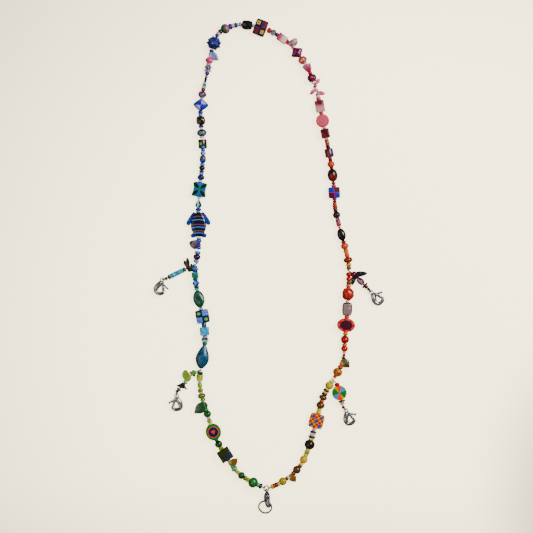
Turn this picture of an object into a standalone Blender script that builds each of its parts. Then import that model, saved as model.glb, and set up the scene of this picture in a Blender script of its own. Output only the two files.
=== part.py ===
"""Eyeglasses chain strap: a closed loop of beads on a thread, with four side drops and five lobster clasps.

The strap lies flat on the ground plane. The loop is long along Y, and its bottom clasp points to -Y.
Sizes below are in millimetres, and every mesh is turned into metres when its object is made.
"""

import math

import bmesh
import bpy
from mathutils import Matrix, Vector

METRES = 0.001

# Driving dimensions
THREAD_RADIUS = 0.3
SMALL_BORE = 0.7  # corner radius of the six-sided hole through the small beads
LARGE_BORE = 0.95  # hole through the flat beads
WALL = 0.4  # least wall of a bead round its hole
GAP = 0.45  # room between neighbouring pieces
PIVOT_GAP = 0.45  # room on each side of a point where the strand bends
LOOP_ROOM = 1.25  # room on each side of a wire loop that goes round the thread
THREAD_STEP = 5.0  # distance between the points of a thread
BEAD_SIDES = 6
SAMPLES = 10  # points on the smooth curve between two points of a route

WIRE_RADIUS = 0.35
RING_WIRE = 0.325
THREAD_LOOP = 1.25  # middle radius of the loop that goes round the thread
END_LOOP = 0.95  # middle radius of the loop at the far end of a drop
DROP_RING = 1.7  # middle radius of a drop's jump ring
BOTTOM_RING = 2.2  # middle radius of the jump ring that closes the strand
CRIMP_LOOP = 1.05
CRIMP_WIRE = 0.3
SPLIT_RING = 5.5
SPLIT_WIRE = 0.45
SPLIT_HEADING = -114.0  # where the split ring lies, as seen from the hook that holds it
RING_CORNERS = 14
WIRE_SIDES = 6

FLAT_THICKNESS = 4.6  # clay tiles and coins
HARDWARE_HEIGHT = 2.4  # height of the middle of the drops above the ground
CLOSING_HEIGHT = 5.1  # height of the jump ring that closes the strand

CLASP_THICKNESS = 2.4
LEVER_ROOM = 0.3  # room on each side of the lever in its slot
LEVER_THICKNESS = 1.0
LEVER_PIVOT = (3.5, 1.4)
TAIL_RADIUS = 1.6
TAIL_HOLE = 0.9
LOWER_CLASP_ROLL = 80.0  # the bottom clasp stands nearly on its edge
LOWER_CLASP_SCALE = 1.2  # and is the largest of the five

MIDDLE = (0.35, 1.89)  # middle of the strap's outline, which becomes the origin

# The route of the thread down the left half, from the top of the loop to the bottom: name, x, y, height.
LEFT_ROUTE = (
    ("top_pivot", -1.2, 203.0, 2.3),
    ("clay_square_tile", -6.7, 204.7, 2.3),
    ("black_nugget", -18.8, 207.1, 3.3),
    ("indigo_seed", -28.4, 206.4, 3.2),
    ("lampwork_round", -38.0, 203.0, 3.5),
    ("plum_seed", -43.3, 198.0, 4.2),
    ("spiky_star", -46.6, 191.6, 4.8),
    ("lavender_leaf", -48.4, 183.4, 3.6),
    ("pink_round", -50.2, 176.2, 2.9),
    ("black_bugle", -51.9, 166.1, 2.9),
    ("teal_cube", -54.4, 155.4, 3.1),
    ("mauve_round", -56.1, 147.7, 3.2),
    ("blue_puffy_diamond", -57.5, 139.0, 3.1),
    ("dark_nugget", -57.4, 125.8, 3.2),
    ("curl_round", -56.5, 116.2, 3.4),
    ("left_pivot", -56.1, 110.2, 3.3),
    ("spotted_cylinder", -55.4, 100.6, 3.0),
    ("slate_oval", -55.6, 92.5, 2.6),
    ("navy_round", -57.0, 79.5, 2.5),
    ("blue_cross_tile", -58.6, 67.3, 2.3),
    ("teal_drop", -59.2, 55.8, 2.6),
    ("striped_fish", -59.6, 37.1, 2.8),
    ("lavender_chip", -59.0, 21.5, 2.6),
    ("purple_round", -60.7, 9.6, 2.6),
    ("upper_left_loop", -61.7, 4.0, 2.5),
    ("turquoise_cube", -62.2, -6.5, 2.6),
    ("teal_leaf", -59.4, -24.6, 2.6),
    ("blue_quarter_tile", -55.8, -40.4, 2.3),
    ("turquoise_glass", -54.1, -52.6, 3.3),
    ("teal_seed", -53.9, -62.6, 3.1),
    ("teal_oval", -55.8, -74.5, 3.0),
    ("lower_left_loop", -57.7, -86.1, 2.5),
    ("lime_cylinder", -58.4, -96.0, 2.5),
    ("olive_rondelle", -57.0, -106.4, 3.0),
    ("green_leaf", -53.5, -116.6, 2.9),
    ("olive_round", -50.6, -127.2, 2.5),
    ("target_disc", -46.8, -138.5, 2.3),
    ("green_round", -42.0, -149.2, 2.9),
    ("checker_cube", -35.9, -158.5, 4.0),
    ("green_seed", -30.3, -167.7, 3.4),
    ("dark_green_round", -22.8, -175.4, 3.2),
    ("aventurine_round", -12.7, -181.3, 3.9),
    ("left_end", -3.73, -185.23, CLOSING_HEIGHT),
)

# The route of the thread down the right half.
RIGHT_ROUTE = (
    ("top_pivot", -1.2, 203.0, 2.3),
    ("smoky_round", 3.9, 200.6, 2.5),
    ("pink_tube", 10.9, 196.0, 2.9),
    ("pink_teardrop", 18.5, 190.3, 3.0),
    ("plum_cross", 24.1, 183.4, 3.3),
    ("salmon_round", 29.3, 176.5, 3.5),
    ("pink_tulip", 33.8, 169.5, 3.5),
    ("plum_round", 37.3, 160.5, 3.5),
    ("pink_daggers", 41.0, 150.3, 3.0),
    ("fluted_rectangle", 43.9, 136.9, 2.6),
    ("swirl_coin", 45.9, 125.6, 2.3),
    ("crimson_cube", 48.3, 114.2, 3.1),
    ("crimson_cylinder", 51.5, 98.2, 3.2),
    ("dark_red_oval", 54.3, 80.2, 3.8),
    ("checker_tile", 55.9, 64.6, 2.3),
    ("maroon_seed", 56.5, 52.3, 2.6),
    ("raspberry_bugle", 59.1, 40.2, 2.8),
    ("twisted_bicone", 61.7, 29.6, 3.2),
    ("orange_seed", 65.1, 17.8, 2.8),
    ("brick_rondelle", 67.6, 7.1, 3.4),
    ("upper_right_loop", 68.3, -1.8, 2.5),
    ("red_round", 68.3, -10.4, 3.0),
    ("lumpy_oval", 67.3, -21.4, 4.1),
    ("mauve_pillow", 66.9, -34.4, 2.9),
    ("clay_oval_disc", 66.0, -47.8, 2.3),
    ("ruby_bicone", 64.8, -59.9, 3.3),
    ("cone_seed", 64.3, -71.8, 2.8),
    ("smoky_chip", 62.4, -80.2, 2.9),
    ("amber_round", 58.6, -88.1, 3.4),
    ("right_pivot", 55.4, -92.8, 2.6),
    ("lower_right_loop", 54.6, -94.0, 2.5),
    ("yellow_round", 52.2, -98.4, 3.0),
    ("brown_disc", 47.3, -106.7, 3.1),
    ("gold_round", 44.0, -116.1, 3.0),
    ("millefiori_square", 40.9, -129.1, 2.4),
    ("clear_disc", 37.3, -141.0, 3.2),
    ("black_brown_round", 34.9, -149.4, 3.6),
    ("yellow_oval", 29.6, -162.7, 3.0),
    ("brown_round", 23.2, -171.5, 3.0),
    ("glass_round", 11.6, -180.6, 3.6),
    ("right_end", 0.5, -185.6, CLOSING_HEIGHT),
)


def seed(length, width):
    """A seed bead, widest at its middle: two rings, its neck and its middle."""
    return (length, width, width, ((0.5, 1.0),))


def ball(length, width):
    """A round bead: a barrel where it is small, and three rings where it is large."""
    small = ((0.25, 1.0), (0.75, 1.0))
    large = ((0.14, 0.72), (0.5, 1.0), (0.86, 0.72))
    return (length, width, width, small if length < 4 else large)


def tube(length, width, thickness=None):
    """A cylinder, bugle or cube: straight sides almost to its ends."""
    return (length, width, thickness or width, ((0.08, 1.0), (0.92, 1.0)))


def oval(length, width, thickness=None):
    """A long bead that narrows to both ends."""
    return (length, width, thickness or width, ((0.12, 0.55), (0.35, 0.95), (0.65, 0.95), (0.88, 0.55)))


# What is strung between the flat beads: each run is one node, whose beads share the stretch that it has.
UPPER_LEFT_1 = (
    seed(1.7, 2.3), oval(9.4, 7.1, 6.4), seed(2.1, 3.0), seed(1.7, 2.4), seed(2.4, 3.0), seed(2.4, 2.6),
    seed(2.6, 3.4), ball(6.8, 6.8), seed(3.0, 3.2), seed(2.4, 2.6), seed(2.2, 2.6), ball(10.6, 10.0),
    seed(2.4, 3.0), tube(3.0, 4.0), seed(2.0, 2.4), ball(5.3, 5.3), seed(2.2, 3.0), tube(5.6, 5.5, 3.6),
    seed(2.7, 2.8), tube(7.2, 2.3), tube(3.2, 2.8), seed(2.2, 3.0), seed(2.6, 3.0), ball(6.6, 6.3), seed(1.5, 2.3),
)
UPPER_LEFT_2 = (
    seed(2.6, 3.2), seed(2.0, 2.8), oval(8.5, 6.8, 6.0), seed(2.4, 3.3), seed(1.6, 2.3), ball(6.2, 6.8), seed(1.8, 2.4),
)
LOWER_LEFT_1 = (
    tube(8.0, 6.2, 5.8), seed(2.6, 2.6), seed(3.0, 3.4), oval(7.6, 4.7), seed(1.8, 3.4), ball(4.1, 4.2),
    seed(2.0, 3.2), seed(2.0, 3.0), ball(4.7, 4.7), seed(1.8, 2.4),
)
LOWER_LEFT_2 = (seed(1.6, 2.3), oval(8.4, 4.5), seed(2.3, 3.6), seed(1.7, 2.8))
LOWER_LEFT_3 = (
    seed(1.5, 3.0), seed(3.0, 3.4), tube(3.4, 4.0), seed(2.4, 3.4), seed(1.5, 2.3), seed(2.6, 3.8),
    ball(4.9, 4.9), seed(2.6, 3.4),
)
LOWER_LEFT_4 = (
    seed(1.9, 2.6), seed(2.0, 4.8), seed(1.9, 3.8), tube(5.0, 4.9), seed(2.2, 3.4), ball(4.4, 4.7),
    seed(2.2, 3.4), seed(1.7, 3.2), oval(15.3, 8.5, 4.8), seed(1.8, 2.6),
)
LOWER_LEFT_5 = (tube(3.4, 3.4), tube(7.1, 6.4), seed(2.0, 3.4), seed(1.5, 5.1), seed(1.7, 5.1), seed(2.7, 3.2))
LOWER_LEFT_6 = (
    seed(2.5, 4.0), tube(4.7, 4.7), seed(1.3, 2.3), oval(6.0, 3.4), seed(3.0, 3.4), seed(0.8, 2.3),
    ball(4.6, 5.8), seed(2.6, 3.4), oval(6.5, 7.0, 4.4), seed(2.1, 3.0), ball(5.3, 5.3), seed(1.7, 2.6),
    ball(3.7, 3.5), seed(1.6, 3.0),
)
LOWER_LEFT_7 = (
    seed(2.0, 2.6), ball(5.3, 5.3), seed(2.6, 3.2), tube(10.4, 9.4, 7.4), seed(1.9, 2.5), seed(1.8, 2.5),
    seed(2.0, 3.0), seed(1.9, 3.0), seed(2.6, 4.5), seed(2.2, 2.6), seed(2.2, 2.6), ball(5.0, 5.1),
    seed(3.0, 3.2), seed(2.4, 3.0), ball(7.2, 7.4), seed(2.2, 3.0), seed(2.5, 3.6),
)
UPPER_RIGHT_1 = (
    seed(3.0, 3.0), ball(4.6, 4.8), seed(2.4, 2.8), tube(8.2, 5.4), tube(2.8, 3.0), tube(3.4, 4.0),
    seed(2.1, 2.4), oval(8.4, 8.9, 6.0), ball(6.6, 6.8), seed(1.5, 3.4), ball(6.6, 6.4), seed(1.9, 2.8),
    ball(6.5, 6.8), seed(1.6, 3.4), tube(1.6, 2.8), seed(1.8, 2.6), tube(1.6, 2.8), seed(1.8, 2.6),
    tube(1.6, 2.8), seed(1.6, 2.6), seed(2.0, 2.6), seed(2.3, 3.2), tube(9.6, 6.8, 4.8), seed(1.8, 2.8),
)
UPPER_RIGHT_2 = (
    seed(1.7, 2.4), tube(7.2, 6.1), seed(1.7, 2.4), tube(4.8, 3.0), seed(2.8, 3.0), tube(6.9, 6.2),
    seed(1.8, 2.6), seed(1.7, 2.6), ball(4.8, 5.0), seed(1.4, 2.6), oval(10.6, 7.4), seed(2.5, 3.2), seed(2.0, 2.6),
)
UPPER_RIGHT_3 = (
    seed(1.6, 2.4), seed(2.0, 2.8), seed(2.2, 2.8), tube(3.2, 3.2), seed(2.2, 2.8), ball(5.2, 5.2),
    seed(2.0, 2.8), tube(4.6, 3.4), seed(2.0, 2.6), oval(10.6, 6.2), seed(1.9, 3.4), ball(5.0, 5.2),
    tube(4.2, 3.2), seed(2.6, 3.0), ball(4.8, 6.6), seed(3.0, 3.2), seed(2.5, 3.0),
)
UPPER_RIGHT_4 = (
    ball(3.5, 4.2), ball(3.8, 4.0), seed(2.6, 3.2), seed(2.6, 3.2), oval(10.2, 9.0, 7.8), seed(1.8, 2.4),
    tube(10.5, 7.4, 5.4), seed(2.2, 3.4),
)
UPPER_RIGHT_5 = (
    seed(2.8, 3.0), ball(7.2, 6.4), seed(1.8, 3.6), ball(4.8, 4.8), seed(1.8, 2.3), seed(2.6, 2.6),
    seed(2.0, 2.6), tube(3.4, 4.0), seed(2.2, 2.9), ball(3.4, 3.6), ball(6.6, 6.6), seed(2.3, 2.5),
)
LOWER_RIGHT_1 = (
    seed(1.7, 3.8), ball(5.6, 5.8), seed(1.4, 3.4), seed(1.6, 4.7), seed(1.5, 3.6), seed(2.0, 3.9),
    ball(4.2, 6.1), seed(1.8, 3.2), ball(5.6, 5.8), seed(1.7, 3.4), ball(3.0, 3.7),
)
LOWER_RIGHT_2 = (
    seed(2.4, 2.6), seed(1.5, 4.8), tube(2.5, 4.2), seed(1.6, 5.1), seed(1.6, 3.6), ball(6.8, 7.2),
    seed(1.6, 3.4), seed(2.5, 3.4), seed(1.6, 3.4), ball(6.3, 5.6), seed(1.8, 3.0), seed(1.8, 3.0),
    ball(5.4, 5.6), seed(2.2, 3.0), tube(3.0, 3.6), seed(3.2, 2.6), ball(5.5, 5.5), seed(1.8, 3.0),
    seed(2.2, 3.2), tube(3.3, 3.3),
)

# The order of things down each half. A number is the room that a named point of the route keeps free on each side.
LEFT_STRAND = (
    ("top_pivot", PIVOT_GAP), ("clay_square_tile", 5.1), ("upper_left_beads_1", UPPER_LEFT_1),
    ("blue_puffy_diamond", 4.9), ("upper_left_beads_2", UPPER_LEFT_2), ("left_pivot", PIVOT_GAP),
    ("lower_left_beads_1", LOWER_LEFT_1), ("blue_cross_tile", 6.1), ("lower_left_beads_2", LOWER_LEFT_2),
    ("striped_fish", 10.2), ("lower_left_beads_3", LOWER_LEFT_3), ("upper_left_loop", LOOP_ROOM),
    ("lower_left_beads_4", LOWER_LEFT_4), ("blue_quarter_tile", 5.5), ("lower_left_beads_5", LOWER_LEFT_5),
    ("teal_oval", 9.8), ("lower_left_loop", LOOP_ROOM), ("lower_left_beads_6", LOWER_LEFT_6),
    ("target_disc", 6.3), ("lower_left_beads_7", LOWER_LEFT_7), ("left_end", 1.6),
)
RIGHT_STRAND = (
    ("top_pivot", PIVOT_GAP), ("upper_right_beads_1", UPPER_RIGHT_1), ("swirl_coin", 5.4),
    ("upper_right_beads_2", UPPER_RIGHT_2), ("checker_tile", 4.55), ("upper_right_beads_3", UPPER_RIGHT_3),
    ("upper_right_loop", LOOP_ROOM), ("upper_right_beads_4", UPPER_RIGHT_4), ("clay_oval_disc", 5.7),
    ("upper_right_beads_5", UPPER_RIGHT_5), ("right_pivot", PIVOT_GAP), ("lower_right_loop", LOOP_ROOM),
    ("lower_right_beads_1", LOWER_RIGHT_1), ("millefiori_square", 6.0),
    ("lower_right_beads_2", LOWER_RIGHT_2), ("right_end", 1.6),
)

# Colour, metallic, roughness of each kind of surface
FINISHES = {
    "thread": ((0.86, 0.74, 0.76, 1.0), 0.0, 0.25),
    "steel": ((0.62, 0.62, 0.64, 1.0), 1.0, 0.25),
    "gunmetal": ((0.16, 0.15, 0.16, 1.0), 1.0, 0.35),
    "indigo": ((0.05, 0.05, 0.28, 1.0), 0.0, 0.2),
    "violet": ((0.24, 0.05, 0.16, 1.0), 0.0, 0.45),
    "navy": ((0.01, 0.02, 0.16, 1.0), 0.0, 0.25),
    "blue": ((0.02, 0.1, 0.5, 1.0), 0.0, 0.3),
    "sky": ((0.1, 0.3, 0.75, 1.0), 0.0, 0.25),
    "teal": ((0.0, 0.18, 0.28, 1.0), 0.0, 0.3),
    "turquoise": ((0.02, 0.4, 0.45, 1.0), 0.0, 0.2),
    "green": ((0.02, 0.28, 0.05, 1.0), 0.0, 0.3),
    "lime": ((0.3, 0.45, 0.03, 1.0), 0.0, 0.2),
    "yellow": ((0.8, 0.55, 0.03, 1.0), 0.0, 0.25),
    "orange": ((0.8, 0.16, 0.02, 1.0), 0.0, 0.35),
    "red": ((0.5, 0.01, 0.02, 1.0), 0.0, 0.25),
    "crimson": ((0.25, 0.01, 0.03, 1.0), 0.0, 0.25),
    "pink": ((0.65, 0.14, 0.28, 1.0), 0.0, 0.25),
}


class Route:
    """A smooth curve through named points, measured along its length."""

    def __init__(self, stops):
        points = [Vector(stop[1:]) for stop in stops]
        before = points[0] * 2 - points[1]
        after = points[-1] * 2 - points[-2]
        guides = [before] + points + [after]
        self.points = [points[0]]
        self.distances = [0.0]
        self.stations = {stops[0][0]: 0.0}
        for index in range(1, len(points)):
            corner = guides[index - 1:index + 3]
            for step in range(1, SAMPLES + 1):
                point = smooth_point(*corner, step / SAMPLES)
                self.distances.append(self.distances[-1] + (point - self.points[-1]).length)
                self.points.append(point)
            self.stations[stops[index][0]] = self.distances[-1]

    def at(self, distance):
        """The point this far along the route."""
        index = 1
        while index < len(self.points) - 1 and self.distances[index] < distance:
            index += 1
        start, end = self.distances[index - 1], self.distances[index]
        return self.points[index - 1].lerp(self.points[index], (distance - start) / (end - start))

    def direction(self, distance):
        reach = 0.5
        low = max(distance - reach, 0.0)
        high = min(distance + reach, self.distances[-1])
        return (self.at(high) - self.at(low)).normalized()


def smooth_point(a, b, c, d, share):
    """A point between b and c on the Catmull-Rom curve through a, b, c and d."""
    curve = b * 2 + (c - a) * share
    curve += (a * 2 - b * 5 + c * 4 - d) * share ** 2
    curve += (b * 3 - a - c * 3 + d) * share ** 3
    return curve / 2


def clear_scene():
    for old in list(bpy.data.objects):
        bpy.data.objects.remove(old)


def finish_material(finish):
    colour, metallic, roughness = FINISHES[finish]
    material = bpy.data.materials.new(finish)
    material.use_nodes = True
    shader = material.node_tree.nodes["Principled BSDF"]
    shader.inputs["Base Color"].default_value = colour
    shader.inputs["Metallic"].default_value = metallic
    shader.inputs["Roughness"].default_value = roughness
    return material


def new_object(name, mesh):
    made = bpy.data.objects.new(name, mesh)
    bpy.context.scene.collection.objects.link(made)
    return made


def mesh_from(shape, name):
    """A mesh from a bmesh whose faces are made to point outwards."""
    bmesh.ops.recalc_face_normals(shape, faces=shape.faces)
    mesh = bpy.data.meshes.new(name)
    shape.to_mesh(mesh)
    shape.free()
    return mesh


def combined(mesh, other, operation):
    """The mesh joined with, or cut by, the other one."""
    first = new_object("first", mesh)
    second = new_object("second", other)
    modifier = first.modifiers.new("Boolean", "BOOLEAN")
    modifier.operation = operation
    modifier.solver = "EXACT"
    modifier.object = second
    graph = bpy.context.evaluated_depsgraph_get()
    result = bpy.data.meshes.new_from_object(first.evaluated_get(graph))
    bpy.data.objects.remove(first)
    bpy.data.objects.remove(second)
    return result


def ring_of(shape, centre, across, up, half_width, half_height, sides):
    ring = []
    for index in range(sides):
        turn = 2 * math.pi * index / sides
        offset = across * (half_width * math.cos(turn)) + up * (half_height * math.sin(turn))
        ring.append(shape.verts.new(centre + offset))
    return ring


def bridge(shape, first, second):
    sides = len(first)
    for index in range(sides):
        after = (index + 1) % sides
        shape.faces.new((first[index], first[after], second[after], second[index]))


def frame_at(route, distance):
    """The point on the route, with the directions across it and up from it."""
    ahead = route.direction(distance)
    across = Vector((0, 0, 1)).cross(ahead).normalized()
    return route.at(distance), across, ahead.cross(across)


def run_profile(beads, stretch):
    """The rings of a run: distance from its start, half width and half height."""
    total = sum(bead[0] for bead in beads)
    least = SMALL_BORE + WALL
    rings = []
    reached = 0.0
    before = beads[0][1]
    for length, width, thickness, inner in beads:
        neck = max(least, 0.36 * min(before, width))
        rings.append((reached, neck, neck))
        for place, share in inner:
            half_width = max(least, share * width / 2)
            half_height = max(least, share * thickness / 2)
            rings.append((reached + place * length, half_width, half_height))
        reached += length
        before = width
    end_neck = max(least, 0.36 * before)
    rings.append((total, end_neck, end_neck))
    return [(place * stretch / total, width, height) for place, width, height in rings]


def run_mesh(name, route, beads, start, end):
    """A run of small beads as one bored solid that follows the thread."""
    shape = bmesh.new()
    profile = run_profile(beads, end - start)
    outer = []
    for place, half_width, half_height in profile:
        centre, across, up = frame_at(route, start + place)
        outer.append(ring_of(shape, centre, across, up, half_width, half_height, BEAD_SIDES))
    steps = max(1, round((end - start) / THREAD_STEP))
    inner = []
    for step in range(steps + 1):
        centre, across, up = frame_at(route, start + (end - start) * step / steps)
        inner.append(ring_of(shape, centre, across, up, SMALL_BORE, SMALL_BORE, BEAD_SIDES))
    for rings in (outer, inner):
        for first, second in zip(rings, rings[1:]):
            bridge(shape, first, second)
    bridge(shape, outer[0], inner[0])
    bridge(shape, outer[-1], inner[-1])
    return mesh_from(shape, name)


def layered_mesh(name, outline, layers):
    """A closed solid from one outline, which each layer (height, share) repeats at its own size."""
    shape = bmesh.new()
    rings = []
    for height, share in layers:
        rings.append([shape.verts.new((x * share, y * share, height)) for x, y in outline])
    for first, second in zip(rings, rings[1:]):
        bridge(shape, first, second)
    shape.faces.new(rings[0])
    shape.faces.new(rings[-1])
    return mesh_from(shape, name)


def slab_layers(thickness, soft=0.5, share=0.94):
    """A flat piece with softened edges."""
    half = thickness / 2
    return ((-half, share), (-half + soft, 1.0), (half - soft, 1.0), (half, share))


def puffy_layers(thickness, top=0.3):
    """A pillow that rises to a small flat in its middle."""
    half = thickness / 2
    return ((-half, top), (-half * 0.62, 0.78), (-0.2, 1.0), (0.2, 1.0), (half * 0.62, 0.78), (half, top))


def rod_mesh(name, start, end, radius, sides=8):
    start, end = Vector(start), Vector(end)
    along = (end - start).normalized()
    across = along.orthogonal().normalized()
    up = along.cross(across)
    shape = bmesh.new()
    first = ring_of(shape, start, across, up, radius, radius, sides)
    second = ring_of(shape, end, across, up, radius, radius, sides)
    bridge(shape, first, second)
    shape.faces.new(first)
    shape.faces.new(second)
    return mesh_from(shape, name)


def path_mesh(name, points, radius, sides=WIRE_SIDES):
    """A bent wire through the points, with flat ends."""
    shape = bmesh.new()
    rings = []
    for index, point in enumerate(points):
        before = points[max(index - 1, 0)]
        after = points[min(index + 1, len(points) - 1)]
        ahead = (after - before).normalized()
        across = Vector((0, 0, 1)).cross(ahead).normalized()
        rings.append(ring_of(shape, point, across, ahead.cross(across), radius, radius, sides))
    for first, second in zip(rings, rings[1:]):
        bridge(shape, first, second)
    shape.faces.new(rings[0])
    shape.faces.new(rings[-1])
    return mesh_from(shape, name)


def ring_mesh(name, radius, wire, corners=RING_CORNERS):
    """A ring of round wire about the Z axis."""
    shape = bmesh.new()
    rings = []
    for index in range(corners):
        turn = 2 * math.pi * index / corners
        outward = Vector((math.cos(turn), math.sin(turn), 0))
        rings.append(ring_of(shape, outward * radius, outward, Vector((0, 0, 1)), wire, wire, WIRE_SIDES))
    for index in range(corners):
        bridge(shape, rings[index], rings[(index + 1) % corners])
    return mesh_from(shape, name)


def bored(mesh, half_length, radius=LARGE_BORE):
    """The mesh with a hole along its X axis."""
    return combined(mesh, rod_mesh("bore", (-half_length, 0, 0), (half_length, 0, 0), radius), "DIFFERENCE")


def turned(mesh, *matrices):
    for matrix in matrices:
        mesh.transform(matrix)
    return mesh


def round_outline(length, width, corners=20):
    turns = [2 * math.pi * index / corners for index in range(corners)]
    return [(length / 2 * math.cos(turn), width / 2 * math.sin(turn)) for turn in turns]


def cut_corner_outline(length, width, cut):
    half, side = length / 2, width / 2
    return [
        (half, -side + cut), (half, side - cut), (half - cut, side), (-half + cut, side),
        (-half, side - cut), (-half, -side + cut), (-half + cut, -side), (half - cut, -side),
    ]


def mirrored_outline(half_outline):
    """The whole outline from its upper half, listed from low x to high x."""
    return list(half_outline) + [(x, -y) for x, y in reversed(half_outline)]


CROSS_HALF = ((-6.1, 2.2), (-5.3, 5.4), (-4.9, 5.9), (-1.9, 5.0), (1.9, 5.0), (4.9, 5.9), (5.7, 5.6), (6.1, 2.2))
FISH_HALF = (
    (-10.2, 2.0), (-9.2, 4.0), (-6.6, 5.4), (-3.0, 7.4), (-0.9, 9.6), (0.7, 9.8), (1.2, 8.6), (1.0, 6.3),
    (5.4, 4.9), (6.9, 5.9), (8.6, 6.2), (9.8, 5.0), (9.4, 2.6), (10.2, 1.6),
)
DIAMOND_HALF = ((-4.9, 1.3), (-0.9, 5.9), (0.9, 5.9), (4.9, 1.3))


def flat_bead_mesh(name):
    """A flat bead in its own frame: X along the thread, Z up, its middle at the origin."""
    outlines = {
        "clay_square_tile": (cut_corner_outline(10.2, 12.2, 0.8), slab_layers(FLAT_THICKNESS)),
        "blue_puffy_diamond": (mirrored_outline(DIAMOND_HALF), puffy_layers(5.8)),
        "blue_cross_tile": (mirrored_outline(CROSS_HALF), slab_layers(FLAT_THICKNESS)),
        "striped_fish": (mirrored_outline(FISH_HALF), slab_layers(5.4, 1.2, 0.9)),
        "blue_quarter_tile": (cut_corner_outline(11.0, 10.8, 0.9), slab_layers(FLAT_THICKNESS)),
        "teal_oval": (round_outline(19.6, 10.4), puffy_layers(6.0, 0.45)),
        "target_disc": (round_outline(12.6, 12.6), slab_layers(FLAT_THICKNESS)),
        "swirl_coin": (round_outline(10.8, 10.8), slab_layers(FLAT_THICKNESS)),
        "checker_tile": (cut_corner_outline(9.1, 9.4, 0.7), slab_layers(FLAT_THICKNESS)),
        "clay_oval_disc": (round_outline(11.4, 14.7), slab_layers(FLAT_THICKNESS)),
        "millefiori_square": (cut_corner_outline(12.0, 11.9, 1.6), slab_layers(4.8)),
    }
    outline, layers = outlines[name]
    return bored(layered_mesh(name, outline, layers), 15.0), layers[-1][0]


FLAT_BEADS = {
    "clay_square_tile": "violet", "blue_puffy_diamond": "blue", "blue_cross_tile": "sky", "striped_fish": "navy",
    "blue_quarter_tile": "blue", "teal_oval": "teal", "target_disc": "green", "swirl_coin": "pink",
    "checker_tile": "violet", "clay_oval_disc": "crimson", "millefiori_square": "orange",
}
RUN_FINISHES = {
    "upper_left_beads_1": "indigo", "upper_left_beads_2": "navy", "lower_left_beads_1": "navy",
    "lower_left_beads_2": "blue", "lower_left_beads_3": "sky", "lower_left_beads_4": "turquoise",
    "lower_left_beads_5": "turquoise", "lower_left_beads_6": "lime", "lower_left_beads_7": "green",
    "upper_right_beads_1": "pink", "upper_right_beads_2": "crimson", "upper_right_beads_3": "red",
    "upper_right_beads_4": "red", "upper_right_beads_5": "orange", "lower_right_beads_1": "yellow",
    "lower_right_beads_2": "yellow",
}


def settle(route, name, half_length):
    """Where a flat bead lies: level, on the ground, along the chord between its two ends."""
    station = route.stations[name]
    first = route.at(station - half_length)
    last = route.at(station + half_length)
    heading = math.atan2(last.y - first.y, last.x - first.x)
    middle = (first + last) / 2
    return middle, heading


def thread_object(name, route, start, end):
    """A stretch of the beading thread, as a round cord."""
    count = round((end - start) / THREAD_STEP) + 1
    curve = bpy.data.curves.new(name, "CURVE")
    curve.dimensions = "3D"
    curve.bevel_depth = THREAD_RADIUS * METRES
    curve.bevel_resolution = 2
    curve.use_fill_caps = True
    spline = curve.splines.new("POLY")
    spline.points.add(count - 1)
    for index in range(count):
        point = route.at(start + (end - start) * index / (count - 1)) * METRES
        spline.points[index].co = (point.x, point.y, point.z, 1.0)
    return new_object(name, curve)


def clasp_outline():
    """The hook from its neck round the nose to its tip, and back along the inside."""
    return [
        (0.9, -0.7), (2.4, -1.6), (3.9, -2.5), (5.5, -3.5), (7.4, -4.0), (9.2, -3.6), (10.6, -2.6),
        (11.4, -1.2), (11.6, 0.2), (11.3, 1.6), (10.5, 2.8), (9.4, 3.6), (8.4, 3.8), (8.3, 2.7), (9.1, 2.4),
        (10.0, 1.5), (10.4, 0.1), (10.0, -1.5), (8.9, -2.5), (7.4, -2.8), (5.9, -2.3), (5.0, -1.2),
        (4.9, 1.6), (4.2, 2.6), (3.0, 2.5), (1.9, 1.7), (0.9, 0.7),
    ]


def clasp_body_mesh():
    """A lobster clasp's body in its own frame: the tail hole at the origin, the nose at +X."""
    half = CLASP_THICKNESS / 2
    slot_half = LEVER_THICKNESS / 2 + LEVER_ROOM
    layers = ((-half, 1.0), (half, 1.0))
    body = layered_mesh("hook", clasp_outline(), layers)
    slot_outline = [(2.0, -0.1), (6.0, -0.1), (6.0, 4.5), (2.0, 4.5)]
    slot = layered_mesh("slot", slot_outline, ((-slot_half, 1.0), (slot_half, 1.0)))
    body = combined(body, slot, "DIFFERENCE")
    pivot_x, pivot_y = LEVER_PIVOT
    pin = rod_mesh("pin", (pivot_x, pivot_y, -half + 0.2), (pivot_x, pivot_y, half - 0.2), 0.4)
    body = combined(body, pin, "UNION")
    tail = layered_mesh("tail", round_outline(2 * TAIL_RADIUS, 2 * TAIL_RADIUS, 14), ((-0.5, 1.0), (0.5, 1.0)))
    body = combined(body, tail, "UNION")
    hole = rod_mesh("hole", (0, 0, -2), (0, 0, 2), TAIL_HOLE, 10)
    return combined(body, hole, "DIFFERENCE")


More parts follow.
